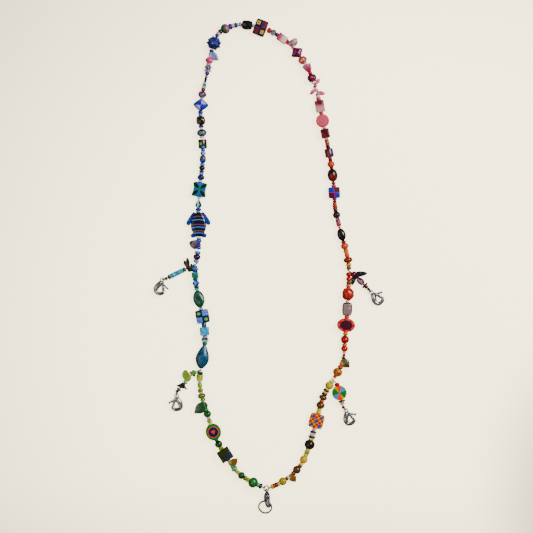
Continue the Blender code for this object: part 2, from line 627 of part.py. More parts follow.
def clasp_lever_mesh():
    """The lever: an eye on the pin, a gate that closes the hook, and a thumb tab with a knob."""
    half = LEVER_THICKNESS / 2
    layers = ((-half, 1.0), (half, 1.0))
    x, y = LEVER_PIVOT
    eye_outline = [(x + px, y + py) for px, py in round_outline(2.5, 2.5, 12)]
    lever = layered_mesh("eye", eye_outline, layers)
    gate_outline = [(x + 0.4, y - 0.35), (7.6, 2.35), (7.55, 3.3), (x + 0.3, y + 0.9)]
    gate = layered_mesh("gate", gate_outline, ((-half + 0.05, 1.0), (half - 0.05, 1.0)))
    lever = combined(lever, gate, "UNION")
    tab_outline = [(x - 0.6, y + 0.5), (x + 0.5, y + 0.6), (5.5, 4.7), (4.9, 5.2)]
    tab = layered_mesh("tab", tab_outline, ((-half + 0.1, 1.0), (half - 0.1, 1.0)))
    lever = combined(lever, tab, "UNION")
    knob = rod_mesh("knob", (5.4, 5.1, -0.7), (5.4, 5.1, 0.7), 0.75)
    lever = combined(lever, knob, "UNION")
    hole = rod_mesh("hole", (x, y, -2), (x, y, 2), 0.75, 8)
    return combined(lever, hole, "DIFFERENCE")


def angle_matrix(degrees, axis):
    return Matrix.Rotation(math.radians(degrees), 4, axis)


class Drop:
    """A side drop: where its loop goes round the thread, where its straight wire runs, and where its clasp points."""

    def __init__(self, loop, wire_start, wire_end, ring_heading, clasp_heading, roll):
        height = Vector((0, 0, HARDWARE_HEIGHT))
        self.loop = Vector((*loop, HARDWARE_HEIGHT))
        self.start = Vector((*wire_start, 0)) + height
        self.end = Vector((*wire_end, 0)) + height
        self.heading = math.degrees(math.atan2(wire_end[1] - wire_start[1], wire_end[0] - wire_start[0]))
        self.ring_heading = ring_heading
        along = angle_matrix(ring_heading, "Z") @ Vector((1, 0, 0))
        self.ring_centre = self.end + along * DROP_RING
        self.tail = self.end + along * (2 * DROP_RING)
        self.clasp = Matrix.Translation(self.tail) @ angle_matrix(clasp_heading, "Z") @ angle_matrix(roll, "X")

    def along_wire(self, distance):
        """The frame of a bead on the wire: X along the wire, its middle this far from the wire's start."""
        middle = self.start + (self.end - self.start).normalized() * distance
        return Matrix.Translation(middle) @ angle_matrix(self.heading, "Z")


def drops_for(left, right):
    """The four drops, each hung on its own point of the thread."""
    upper_left = left.at(left.stations["upper_left_loop"])
    lower_left = left.at(left.stations["lower_left_loop"])
    upper_right = right.at(right.stations["upper_right_loop"])
    lower_right = right.at(right.stations["lower_right_loop"])
    return {
        "upper_left": Drop(upper_left[:2], (-64.0, 2.9), (-86.8, -8.3), 196.0, 256.0, 0.0),
        "lower_left": Drop(lower_left[:2], (-62.4, -87.1), (-77.4, -104.0), 262.0, 271.0, 180.0),
        "upper_right": Drop(upper_right[:2], (71.6, -4.0), (85.0, -17.3), -50.0, -46.0, 0.0),
        "lower_right": Drop(lower_right[:2], (58.0, -97.5), (63.6, -117.4), -52.0, -68.0, 0.0),
    }


def drop_wire_mesh(drop):
    """The loop round the thread, the bent wire that carries the beads, and the loop at its far end."""
    lead = (drop.start - drop.loop).normalized()
    lead_heading = math.degrees(math.atan2(lead.y, lead.x))
    thread_loop = ring_mesh("thread_loop", THREAD_LOOP, WIRE_RADIUS)
    turned(thread_loop, angle_matrix(90, "X"), angle_matrix(lead_heading, "Z"), Matrix.Translation(drop.loop))
    along = (drop.end - drop.start).normalized()
    points = [drop.loop + lead * THREAD_LOOP, drop.start, drop.end - along * END_LOOP]
    wire = combined(thread_loop, path_mesh("wire", points, WIRE_RADIUS - 0.04), "UNION")
    end_loop = ring_mesh("end_loop", END_LOOP, WIRE_RADIUS, 12)
    return combined(wire, turned(end_loop, Matrix.Translation(drop.end)), "UNION")


def wing_bead_mesh(name, outline, thickness):
    return bored(layered_mesh(name, outline, slab_layers(thickness, 0.4, 0.93)), 12.0, 0.75)


def wire_run_mesh(name, beads):
    """Small beads on a straight wire, joined end to end, from X = 0 along +X."""
    stops = (("start", 0, 0, 0), ("end", sum(bead[0] for bead in beads), 0, 0))
    route = Route(stops)
    return run_mesh(name, route, beads, 0.0, route.distances[-1])


DRAGONFLY_OUTLINE = (
    (-2.6, -1.2), (-3.4, -7.4), (-2.4, -7.9), (-0.7, -3.4), (-0.2, -6.9), (0.9, -6.7), (1.5, -1.4), (1.5, 1.2),
    (0.9, 3.6), (0.0, 3.9), (-0.6, 2.2), (-1.5, 3.7), (-2.3, 3.4), (-2.6, 1.2),
)
ANGEL_OUTLINE = (
    (-1.8, -1.3), (0.3, -5.0), (2.2, -7.6), (2.9, -7.0), (1.9, -3.6), (1.8, -1.3), (1.8, 1.3), (3.2, 4.6),
    (5.0, 7.6), (4.2, 8.2), (1.0, 5.4), (-1.8, 1.3),
)
PETAL_OUTLINE = (
    (-2.6, 0.9), (-3.9, -1.8), (-4.6, -5.4), (-3.8, -7.4), (-1.2, -7.6), (1.6, -6.2), (3.1, -3.2), (3.0, 0.4),
    (1.8, 2.0), (-1.0, 2.1),
)
BIRD_OUTLINE = (
    (-3.0, -1.5), (-1.4, -2.2), (1.0, -3.0), (3.2, -4.2), (2.6, -1.6), (2.0, 1.5), (0.6, 2.2), (-0.2, 5.6),
    (-1.0, 5.2), (-1.6, 2.0), (-2.8, 1.5),
)


def drop_bead_nodes(drops):
    """The larger beads on the four wires: node name to mesh, body and finish."""
    upper_left, lower_left = drops["upper_left"], drops["lower_left"]
    upper_right, lower_right = drops["upper_right"], drops["lower_right"]
    tail_beads = wire_run_mesh("tail", (seed(2.0, 3.0), tube(12.3, 3.6), seed(2.2, 3.0)))
    angel_beads = wire_run_mesh("body", (oval(7.8, 4.8), seed(2.4, 5.4), seed(1.6, 2.6)))
    coin = bored(layered_mesh("coin", round_outline(12.6, 12.6), slab_layers(3.4)), 12.0, 0.75)
    return {
        "dragonfly_wings": (wing_bead_mesh("wings", DRAGONFLY_OUTLINE, 3.0), upper_left, 4.7, "gunmetal"),
        "dragonfly_tail": (tail_beads, upper_left, 7.0, "turquoise"),
        "angel_wings": (wing_bead_mesh("wings", ANGEL_OUTLINE, 3.2), upper_right, 3.2, "gunmetal"),
        "angel_body": (angel_beads, upper_right, 5.5, "crimson"),
        "pinwheel_coin": (coin, lower_right, 8.1, "orange"),
        "lime_petal": (wing_bead_mesh("petal", PETAL_OUTLINE, 3.2), lower_left, 8.2, "lime"),
        "black_bird": (wing_bead_mesh("bird", BIRD_OUTLINE, 3.2), lower_left, 16.3, "gunmetal"),
    }


def crimp_mesh(loop_centre, heading, reach):
    """A wire loop round the closing ring, with a short stem back along the strand."""
    loop = ring_mesh("crimp", CRIMP_LOOP, CRIMP_WIRE, 12)
    turned(loop, angle_matrix(90, "X"), angle_matrix(heading, "Z"), Matrix.Translation(loop_centre))
    back = angle_matrix(heading, "Z") @ Vector((-1, 0, 0))
    stem = rod_mesh("stem", loop_centre + back * CRIMP_LOOP, loop_centre + back * reach, 0.42)
    return combined(loop, stem, "UNION")


def copied(mesh, matrix):
    fresh = mesh.copy()
    fresh.transform(matrix)
    return fresh


class Assembly:
    """Collects the objects, each parented to the empty on its body's joint axis."""

    def __init__(self):
        self.empties = {}
        self.materials = {name: finish_material(name) for name in FINISHES}

    def add_body(self, name, pivot, parent=None):
        empty = bpy.data.objects.new(name + "_pivot", None)
        empty.empty_display_size = 0.004
        bpy.context.scene.collection.objects.link(empty)
        here = Vector(pivot) * METRES
        start = Vector((*MIDDLE, 0)) * METRES
        if parent:
            empty.parent, start = self.empties[parent]
        empty.location = here - start
        self.empties[name] = (empty, here)

    def add(self, name, mesh, body, finish):
        """A node from a mesh that is in millimetres and in the strap's frame."""
        empty, pivot = self.empties[body]
        mesh.transform(Matrix.Translation(-pivot) @ Matrix.Scale(METRES, 4))
        mesh.materials.clear()
        mesh.materials.append(self.materials[finish])
        mesh.shade_smooth()
        mesh.set_sharp_from_angle(angle=math.radians(35))
        new_object(name, mesh).parent = empty

    def add_thread(self, name, made, body):
        empty, pivot = self.empties[body]
        made.data.transform(Matrix.Translation(-pivot))
        made.data.materials.append(self.materials["thread"])
        made.parent = empty


def string_half(assembly, route, strand, body_of):
    """Make every flat bead and every run down one half of the loop."""
    for index, (name, what) in enumerate(strand):
        if name in FLAT_BEADS:
            mesh, half_height = flat_bead_mesh(name)
            middle, heading = settle(route, name, what)
            middle.z = half_height
            mesh.transform(Matrix.Translation(middle) @ Matrix.Rotation(heading, 4, "Z"))
            assembly.add(name, mesh, body_of(route.stations[name]), FLAT_BEADS[name])
        elif name in RUN_FINISHES:
            before, room_before = strand[index - 1]
            after, room_after = strand[index + 1]
            start = route.stations[before] + room_before + GAP
            end = route.stations[after] - room_after - GAP
            mesh = run_mesh(name, route, what, start, end)
            assembly.add(name, mesh, body_of((start + end) / 2), RUN_FINISHES[name])


def add_threads(assembly, left, right):
    room = GAP + 0.05
    left_middle = left.stations["left_pivot"]
    right_middle = right.stations["right_pivot"]
    left_end = left.distances[-1] - 2.2
    right_end = right.distances[-1] - 2.2
    for name, route, start, end, body in (
        ("upper_left_thread", left, room, left_middle - room, "upper_left_arm"),
        ("lower_left_thread", left, left_middle + room, left_end, "lower_left_arm"),
        ("upper_right_thread", right, room, right_middle - room, "upper_right_arm"),
        ("lower_right_thread", right, right_middle + room, right_end, "lower_right_arm"),
    ):
        assembly.add_thread(name, thread_object(name, route, start, end), body)


def add_drop(assembly, side, drop, body_mesh, lever_mesh):
    finish = "gunmetal" if side.startswith("lower") else "steel"
    assembly.add(side + "_drop_wire", drop_wire_mesh(drop), side + "_drop", "gunmetal")
    ring = ring_mesh("ring", DROP_RING, RING_WIRE)
    turned(ring, angle_matrix(90, "X"), angle_matrix(drop.ring_heading, "Z"), Matrix.Translation(drop.ring_centre))
    assembly.add(side + "_jump_ring", ring, side + "_drop", "gunmetal")
    assembly.add(side + "_clasp_body", copied(body_mesh, drop.clasp), side + "_clasp", finish)
    assembly.add(side + "_clasp_lever", copied(lever_mesh, drop.clasp), side + "_lever", finish)


def add_closing(assembly, left, right, clasp, ring_centre, hold, body_mesh, lever_mesh):
    """The two wire ends, the jump ring, the bottom clasp and the split ring in its hook."""
    left_end, right_end = left.points[-1], right.points[-1]
    left_out, right_out = left_end - ring_centre, right_end - ring_centre
    left_heading = math.degrees(math.atan2(-left_out.y, -left_out.x))
    right_heading = math.degrees(math.atan2(-right_out.y, -right_out.x))
    assembly.add("left_end_loop", crimp_mesh(left_end, left_heading, 1.5), "lower_left_arm", "gunmetal")
    assembly.add("right_end_loop", crimp_mesh(right_end, right_heading, 1.5), "lower_right_arm", "gunmetal")
    ring = turned(ring_mesh("ring", BOTTOM_RING, RING_WIRE, 16), Matrix.Translation(ring_centre))
    assembly.add("closing_ring", ring, "lower_left_arm", "gunmetal")
    assembly.add("bottom_clasp_body", copied(body_mesh, clasp), "bottom_clasp", "steel")
    assembly.add("bottom_clasp_lever", copied(lever_mesh, clasp), "bottom_lever", "steel")
    tilt = math.asin((hold.z - SPLIT_WIRE - 0.05) / (2 * SPLIT_RING))
    split = turned(
        ring_mesh("split", SPLIT_RING, SPLIT_WIRE, 24),
        Matrix.Translation((SPLIT_RING, 0, 0)),
        Matrix.Rotation(tilt, 4, "Y"),
        angle_matrix(SPLIT_HEADING, "Z"),
        Matrix.Translation(hold),
    )
    assembly.add("split_ring", split, "split_ring_body", "steel")


def build():
    clear_scene()
    assembly = Assembly()
    left, right = Route(LEFT_ROUTE), Route(RIGHT_ROUTE)
    drops = drops_for(left, right)

    right_end = right.points[-1]
    ring_centre = right_end - BOTTOM_RING * Vector((math.cos(math.radians(10)), math.sin(math.radians(10)), 0))
    hang = math.radians(-85)
    clasp_tail = ring_centre + BOTTOM_RING * Vector((math.cos(hang), math.sin(hang), 0))
    bottom_clasp = Matrix.Translation(clasp_tail) @ angle_matrix(-83.6, "Z")
    bottom_clasp = bottom_clasp @ angle_matrix(LOWER_CLASP_ROLL, "X") @ Matrix.Scale(LOWER_CLASP_SCALE, 4)
    hold = bottom_clasp @ Vector((7.7, -0.8, 0))

    lever_pivot = Vector((*LEVER_PIVOT, 0))
    assembly.add_body("upper_left_arm", left.points[0])
    assembly.add_body("lower_left_arm", left.at(left.stations["left_pivot"]), "upper_left_arm")
    assembly.add_body("upper_right_arm", right.points[0], "upper_left_arm")
    assembly.add_body("lower_right_arm", right.at(right.stations["right_pivot"]), "upper_right_arm")
    carriers = {
        "upper_left": "lower_left_arm", "lower_left": "lower_left_arm",
        "upper_right": "upper_right_arm", "lower_right": "lower_right_arm",
    }
    for side, drop in drops.items():
        assembly.add_body(side + "_drop", drop.loop, carriers[side])
        assembly.add_body(side + "_clasp", drop.tail, side + "_drop")
        assembly.add_body(side + "_lever", drop.clasp @ lever_pivot, side + "_clasp")
    assembly.add_body("bottom_clasp", clasp_tail, "lower_left_arm")
    assembly.add_body("bottom_lever", bottom_clasp @ lever_pivot, "bottom_clasp")
    assembly.add_body("split_ring_body", hold, "bottom_clasp")

    left_middle = left.stations["left_pivot"]
    right_middle = right.stations["right_pivot"]
    string_half(assembly, left, LEFT_STRAND, lambda s: "upper_left_arm" if s < left_middle else "lower_left_arm")
    string_half(assembly, right, RIGHT_STRAND, lambda s: "upper_right_arm" if s < right_middle else "lower_right_arm")
    add_threads(assembly, left, right)

    body_mesh, lever_mesh = clasp_body_mesh(), clasp_lever_mesh()
    for side, drop in drops.items():
        add_drop(assembly, side, drop, body_mesh, lever_mesh)
    for name, (mesh, drop, distance, finish) in drop_bead_nodes(drops).items():
        mesh.transform(drop.along_wire(distance))
        side = next(key for key, value in drops.items() if value is drop)
        assembly.add(name, mesh, side + "_drop", finish)
    add_closing(assembly, left, right, bottom_clasp, ring_centre, hold, body_mesh, lever_mesh)


build()
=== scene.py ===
"""The looks of the eyeglasses chain strap: every bead, wire, ring and clasp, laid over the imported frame.

Lengths are in millimetres in the strap's own layout, and each piece is turned into metres when it is made.
A bead's own frame has X down the thread, Y to its side and Z up.
"""

import math

import bmesh
import bpy
from mathutils import Matrix, Vector, noise


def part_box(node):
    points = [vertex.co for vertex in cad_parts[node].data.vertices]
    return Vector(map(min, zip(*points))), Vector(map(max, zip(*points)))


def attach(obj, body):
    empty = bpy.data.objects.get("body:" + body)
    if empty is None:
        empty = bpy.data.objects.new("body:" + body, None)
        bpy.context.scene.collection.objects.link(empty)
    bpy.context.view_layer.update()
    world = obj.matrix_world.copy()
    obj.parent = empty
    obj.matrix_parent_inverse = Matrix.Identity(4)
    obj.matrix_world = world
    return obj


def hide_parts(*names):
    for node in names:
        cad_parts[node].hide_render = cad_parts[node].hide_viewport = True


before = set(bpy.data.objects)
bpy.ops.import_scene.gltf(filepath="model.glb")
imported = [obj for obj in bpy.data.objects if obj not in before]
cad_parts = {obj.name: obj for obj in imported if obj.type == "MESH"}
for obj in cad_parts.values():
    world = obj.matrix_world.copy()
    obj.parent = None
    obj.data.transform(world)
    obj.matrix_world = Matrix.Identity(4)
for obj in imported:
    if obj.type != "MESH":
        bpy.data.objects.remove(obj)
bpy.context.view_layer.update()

METRES = 0.001
MIDDLE = Vector((0.35, 1.89, 0.0))  # the layout's point that the frame has as its origin

# Camera and floor: the height, centre and view width are in metres
CAMERA_HEIGHT = 1.3
CAMERA_CENTRE = (-0.00195, 0.00006)
VIEW_WIDTH = 0.453
SENSOR_WIDTH = 36.0  # of the camera itself
# Strength of the light painted into the paper as its own glow
PAPER_GLOW = 3.5

# Thread left free beside a large bead, at a pivot of the strand, and at a side drop's loop
GAP = 0.2
PIVOT_GAP = 0.3
LOOP_ROOM = 0.95

# Radii of thread, bore and wires
THREAD_RADIUS = 0.25
BORE = 0.42
WIRE_RADIUS = 0.55
THREAD_LOOP_WIRE = 0.5
END_LOOP_WIRE = 0.4
RING_WIRE = 0.56
SPLIT_WIRE = 0.66

# Radii of loops and rings, to the middle of the wire
THREAD_LOOP = 1.25
END_LOOP = 0.95
DROP_RING = 1.7
BOTTOM_RING = 2.2
CRIMP_LOOP = 1.05
SPLIT_RING = 5.5

HARDWARE_HEIGHT = 2.4  # of the side drops' wires
CLOSING_HEIGHT = 5.1  # of the strand's lower ends
FLAT_THICKNESS = 4.6  # of the clay tiles and discs
LEVER_PIVOT = (3.5, 1.4)
CLASP_SCALE = (1.14, 1.2, 1.1)
BOTTOM_CLASP_SCALE = (1.2, 1.2, 1.55)
BOTTOM_CLASP_ROLL = 80.0
BOTTOM_CLASP_HEADING = -83.6
BOTTOM_HOLD = (7.7, -0.8, 0)  # the point of the bottom clasp that the split ring hangs from
SPLIT_HEADING = -114.0
SPLIT_TURNS = (-0.25, 0.25)  # heights of the split ring's two turns of wire

# Headings from the closing ring's middle to the right end loop and to the bottom clasp
RIGHT_END_HEADING = 10
CLASP_ON_RING_HEADING = -85

SAMPLES = 10  # points on a route from one stop to the next
CORD_STEP = 5.5  # the thread's own points are about so far apart
MOST_CORD_POINTS = 60
THREAD_END_ROOM = 1.3  # from the thread's end to the middle of an end loop
LEAST_HEIGHT = 0.02  # the lowest that a bead, wire or clasp may reach
DEPTH = 1.35  # how much deeper a colour is in the thickness of a bead

# Beads are drawn plumper than they are, because the bright floor eats into their edges
GROWTH = 1.1
PLUMPNESS = 0.45
FLAT_GROWTH = 1.055

# Each stop of the thread: its name, x, y and height. Either route runs from the top pivot to its lower end.
LEFT_ROUTE = (
    ("top_pivot", -1.2, 203.0, 2.3), ("clay_square_tile", -6.7, 204.7, 2.3),
    ("black_nugget", -18.8, 207.1, 3.3), ("indigo_seed", -28.4, 206.4, 3.2),
    ("lampwork_round", -38.0, 203.0, 3.5), ("plum_seed", -43.3, 198.0, 4.2),
    ("spiky_star", -46.6, 191.6, 4.8), ("lavender_leaf", -48.4, 183.4, 3.6),
    ("pink_round", -50.2, 176.2, 2.9), ("black_bugle", -51.9, 166.1, 2.9), ("teal_cube", -54.4, 155.4, 3.1),
    ("mauve_round", -56.1, 147.7, 3.2), ("blue_puffy_diamond", -57.5, 139.0, 3.1),
    ("dark_nugget", -57.4, 125.8, 3.2), ("curl_round", -56.5, 116.2, 3.4),
    ("left_pivot", -56.1, 110.2, 3.3), ("spotted_cylinder", -55.4, 100.6, 3.0),
    ("slate_oval", -55.6, 92.5, 2.6), ("navy_round", -57.0, 79.5, 2.5),
    ("blue_cross_tile", -58.6, 67.3, 2.3), ("teal_drop", -59.2, 55.8, 2.6),
    ("striped_fish", -59.6, 37.1, 2.8), ("lavender_chip", -59.0, 21.5, 2.6),
    ("purple_round", -60.7, 9.6, 2.6), ("upper_left_loop", -61.7, 4.0, 2.5),
    ("turquoise_cube", -62.2, -6.5, 2.6), ("teal_leaf", -59.4, -24.6, 2.6),
    ("blue_quarter_tile", -55.8, -40.4, 2.3), ("turquoise_glass", -54.1, -52.6, 3.3),
    ("teal_seed", -53.9, -62.6, 3.1), ("teal_oval", -55.8, -74.5, 3.0),
    ("lower_left_loop", -57.7, -86.1, 2.5), ("lime_cylinder", -58.4, -96.0, 2.5),
    ("olive_rondelle", -57.0, -106.4, 3.0), ("green_leaf", -53.5, -116.6, 2.9),
    ("olive_round", -50.6, -127.2, 2.5), ("target_disc", -46.8, -138.5, 2.3),
    ("green_round", -42.0, -149.2, 2.9), ("checker_cube", -35.9, -158.5, 4.0),
    ("green_seed", -30.3, -167.7, 3.4), ("dark_green_round", -22.8, -175.4, 3.2),
    ("aventurine_round", -12.7, -181.3, 3.9), ("left_end", -3.73, -185.23, CLOSING_HEIGHT),
)
RIGHT_ROUTE = (
    ("top_pivot", -1.2, 203.0, 2.3), ("smoky_round", 3.9, 200.6, 2.5), ("pink_tube", 10.9, 196.0, 2.9),
    ("pink_teardrop", 18.5, 190.3, 3.0), ("plum_cross", 24.1, 183.4, 3.3),
    ("salmon_round", 29.3, 176.5, 3.5), ("pink_tulip", 33.8, 169.5, 3.5), ("plum_round", 37.3, 160.5, 3.5),
    ("pink_daggers", 41.0, 150.3, 3.0), ("fluted_rectangle", 43.9, 136.9, 2.6),
    ("swirl_coin", 45.9, 125.6, 2.3), ("crimson_cube", 48.3, 114.2, 3.1),
    ("crimson_cylinder", 51.5, 98.2, 3.2), ("dark_red_oval", 54.3, 80.2, 3.8),
    ("checker_tile", 55.9, 64.6, 2.3), ("maroon_seed", 56.5, 52.3, 2.6),
    ("raspberry_bugle", 59.1, 40.2, 2.8), ("twisted_bicone", 61.7, 29.6, 3.2),
    ("orange_seed", 65.1, 17.8, 2.8), ("brick_rondelle", 67.6, 7.1, 3.4),
    ("upper_right_loop", 68.3, -1.8, 2.5), ("red_round", 68.3, -10.4, 3.0),
    ("lumpy_oval", 67.3, -21.4, 4.1), ("mauve_pillow", 66.9, -34.4, 2.9),
    ("clay_oval_disc", 66.0, -47.8, 2.3), ("ruby_bicone", 64.8, -59.9, 3.3),
    ("cone_seed", 64.3, -71.8, 2.8), ("smoky_chip", 62.4, -80.2, 2.9), ("amber_round", 58.6, -88.1, 3.4),
    ("right_pivot", 55.4, -92.8, 2.6), ("lower_right_loop", 54.6, -94.0, 2.5),
    ("yellow_round", 52.2, -98.4, 3.0), ("brown_disc", 47.3, -106.7, 3.1),
    ("gold_round", 44.0, -116.1, 3.0), ("millefiori_square", 40.9, -129.1, 2.4),
    ("clear_disc", 37.3, -141.0, 3.2), ("black_brown_round", 34.9, -149.4, 3.6),
    ("yellow_oval", 29.6, -162.7, 3.0), ("brown_round", 23.2, -171.5, 3.0),
    ("glass_round", 11.6, -180.6, 3.6), ("right_end", 0.5, -185.6, CLOSING_HEIGHT),
)

# Each bead: kind, length along the thread, width, look, and then its thickness or the way that it points.
UPPER_LEFT_1 = (
    ("seed", 1.7, 2.3, "pale_aqua"), ("nugget", 10.0, 7.1, "black_facet"),
    ("seed", 2.3, 3.0, "clear_mauve"), ("seed", 1.7, 2.4, "pale_blue"), ("seed", 2.4, 3.5, "indigo"),
    ("seed", 2.4, 3.0, "clear_pink"), ("seed", 2.9, 3.9, "indigo"), ("round", 7.2, 7.0, "lampwork"),
    ("seed", 3.0, 3.2, "dark_plum"), ("seed", 2.4, 2.6, "clear_pink"), ("seed", 2.2, 2.6, "indigo"),
    ("star", 12.2, 11.0, "navy_star"), ("seed", 2.4, 3.0, "indigo"),
    ("leaf", 3.0, 5.8, "lavender", 10.4, 62), ("seed", 2.0, 2.4, "clear_mauve"),
    ("round", 5.3, 5.3, "hot_pink"), ("seed", 2.2, 3.0, "lavender"),
    ("butterfly", 5.6, 5.5, "smoky_crystal"), ("seed", 2.6, 2.8, "indigo"), ("bugle", 7.0, 1.7, "black"),
    ("seed", 1.2, 2.0, "pale_blue"), ("cube", 2.7, 2.6, "teal"), ("seed", 1.9, 2.8, "clear_pink"),
    ("seed", 2.2, 2.8, "plum"), ("facet", 6.4, 6.3, "mauve"), ("seed", 0.9, 2.3, "pale_blue"),
)
UPPER_LEFT_2 = (
    ("seed", 2.6, 3.2, "navy"), ("seed", 2.0, 2.8, "light_blue"), ("nugget", 8.5, 6.8, "black_gold"),
    ("seed", 2.4, 3.3, "navy"), ("seed", 1.6, 2.3, "white"), ("round", 6.2, 6.8, "curls"),
    ("seed", 1.8, 3.2, "clear"),
)
LOWER_LEFT_1 = (
    ("tube", 8.0, 6.2, "spotted"), ("seed", 2.6, 2.6, "blue"), ("seed", 3.0, 3.4, "light_blue"),
    ("oval", 7.6, 4.7, "slate"), ("seed", 1.8, 3.4, "light_blue"), ("round", 4.1, 4.2, "black_gold"),
    ("seed", 2.0, 3.2, "navy"), ("seed", 2.0, 3.0, "light_blue"), ("round", 4.7, 4.7, "navy"),
    ("seed", 1.8, 2.4, "clear"),
)
LOWER_LEFT_2 = (
    ("seed", 1.6, 2.3, "clear"), ("teardrop", 8.4, 4.5, "teal_drop"), ("seed", 2.3, 3.6, "navy"),
    ("seed", 1.7, 2.8, "light_blue"),
)
LOWER_LEFT_3 = (
    ("seed", 1.5, 3.0, "light_blue"), ("seed", 3.0, 3.4, "blue"),
    ("chip", 3.4, 6.6, "grey_lavender", 9.0, -90), ("seed", 2.4, 3.4, "blue"), ("bare", 1.5, 2.3, "clear"),
    ("seed", 2.6, 3.8, "cornflower"), ("round", 4.9, 4.9, "purple_maroon"),
    ("seed", 2.6, 3.4, "light_blue"),
)
LOWER_LEFT_4 = (
    ("seed", 1.9, 2.6, "teal"), ("disc", 2.0, 4.8, "light_blue"), ("disc", 1.9, 3.8, "navy"),
    ("cube", 5.0, 4.9, "teal"), ("seed", 2.2, 3.4, "dark_teal"), ("round", 4.4, 4.7, "blue_cyan"),
    ("seed", 2.2, 3.4, "dark_teal"), ("seed", 1.7, 3.2, "turquoise"),
    ("twist", 15.3, 8.4, "teal_leaf", 4.8), ("seed", 1.8, 2.6, "pale_aqua"),
)
LOWER_LEFT_5 = (
    ("bugle", 3.4, 3.4, "dark_teal"), ("cube", 7.1, 6.6, "turquoise_glass"),
    ("seed", 2.0, 3.4, "clear_mauve"), ("disc", 1.5, 5.1, "black_turquoise"),
    ("disc", 1.7, 5.1, "pale_aqua"), ("seed", 2.7, 3.2, "teal"),
)
LOWER_LEFT_6 = (
    ("seed", 2.5, 4.0, "dark_teal"), ("tube", 4.7, 4.7, "lime_clear"), ("disc", 1.3, 3.6, "clear"),
    ("oval", 6.0, 3.4, "lime"), ("seed", 3.0, 3.4, "olive"), ("disc", 0.9, 3.2, "clear"),
    ("rondelle", 4.6, 5.8, "olive_stripes"), ("seed", 2.6, 3.4, "light_green"),
    ("leaf", 6.5, 8.2, "leaf_green", 13.6, -70), ("seed", 2.1, 3.0, "light_green"),
    ("round", 5.3, 5.3, "dark_green"), ("seed", 1.7, 2.6, "pale_aqua"), ("round", 3.7, 3.5, "yellow_olive"),
    ("seed", 1.6, 3.0, "clear"),
)
LOWER_LEFT_7 = (
    ("seed", 2.0, 2.6, "dark_teal"), ("round", 5.3, 5.3, "dark_green"), ("seed", 2.6, 3.2, "lime"),
    ("cube", 10.4, 9.4, "lined_olive", 7.6), ("seed", 1.9, 2.5, "olive_clear"),
    ("seed", 1.8, 2.5, "olive_clear"), ("leaf", 2.0, 5.8, "amber_petal", 9.0, 104),
    ("seed", 1.9, 3.0, "teal"), ("disc", 2.6, 4.5, "light_green"), ("seed", 2.2, 2.6, "olive_clear"),
    ("seed", 2.2, 2.6, "olive_clear"), ("round", 5.0, 5.1, "dark_green"), ("seed", 3.0, 3.2, "olive"),
    ("seed", 2.4, 3.0, "lime_clear"), ("round", 7.2, 7.4, "aventurine"), ("seed", 2.2, 3.0, "light_green"),
    ("seed", 2.5, 3.6, "dark_teal"),
)
UPPER_RIGHT_1 = (
    ("seed", 3.0, 3.6, "red"), ("facet", 4.6, 4.8, "smoky_blue"), ("seed", 2.4, 2.8, "dark_plum"),
    ("cube", 8.2, 5.4, "pink_fade"), ("cube", 2.8, 3.0, "red"), ("chip", 3.4, 5.6, "grey_pink", 7.8, 84),
    ("seed", 2.1, 2.4, "pink"), ("puffy", 8.8, 9.2, "plum_puff", 6.0), ("facet", 6.6, 6.8, "salmon"),
    ("disc", 1.5, 3.4, "white"), ("tulip", 6.6, 6.8, "tulip_pink"), ("seed", 1.9, 2.8, "red"),
    ("lumpy", 6.5, 6.8, "plum"), ("disc", 1.6, 3.4, "white"), ("dagger", 1.6, 2.8, "dagger_pink", 7.2, 114),
    ("seed", 1.8, 2.6, "red"), ("dagger", 1.6, 2.5, "dagger_pink", 7.4, -61), ("seed", 1.8, 2.6, "lilac"),
    ("dagger", 1.6, 3.0, "dagger_pink", 7.4, 66), ("seed", 1.6, 2.6, "lilac"), ("seed", 2.0, 2.6, "clear"),
    ("seed", 2.3, 3.2, "salmon"), ("fluted", 9.6, 6.8, "plum_fade", 4.8), ("seed", 1.8, 2.8, "magenta"),
)
UPPER_RIGHT_2 = (
    ("seed", 1.7, 2.4, "lilac"), ("cube", 7.2, 6.1, "dark_crimson"), ("seed", 1.7, 2.4, "clear_pink"),
    ("bugle", 4.8, 3.0, "red"), ("seed", 1.4, 2.9, "black"), ("seed", 1.4, 2.9, "black"),
    ("tube", 6.9, 6.2, "crimson_violet"), ("seed", 1.8, 2.6, "red"), ("seed", 1.7, 2.6, "black"),
    ("round", 4.8, 5.0, "orange"), ("seed", 1.4, 2.6, "black"), ("oval", 10.6, 7.4, "ember"),
    ("bicone", 2.5, 3.6, "wine_seed"), ("seed", 2.0, 3.0, "wine_seed"),
)
UPPER_RIGHT_3 = (
    ("seed", 1.6, 2.8, "wine_seed"), ("bicone", 2.0, 3.4, "wine_seed"), ("seed", 2.2, 2.8, "bronze"),
    ("seed", 1.6, 3.2, "red"), ("seed", 1.6, 3.2, "red"), ("seed", 2.2, 2.8, "green_black"),
    ("round", 5.2, 5.2, "maroon"), ("seed", 2.0, 2.8, "smoky_blue"), ("bugle", 4.6, 3.4, "raspberry"),
    ("bicone", 2.0, 2.6, "pink"), ("twist", 10.6, 6.2, "black_maroon", 5.6), ("disc", 1.9, 3.4, "wine"),
    ("round", 5.0, 5.2, "orange"), ("seed", 2.1, 3.2, "amber"), ("seed", 2.1, 3.2, "amber"),
    ("seed", 2.6, 3.0, "orange_glass"), ("rondelle", 4.8, 6.6, "brick"), ("seed", 3.0, 3.2, "red_stripes"),
    ("seed", 2.5, 3.0, "bronze"),
)
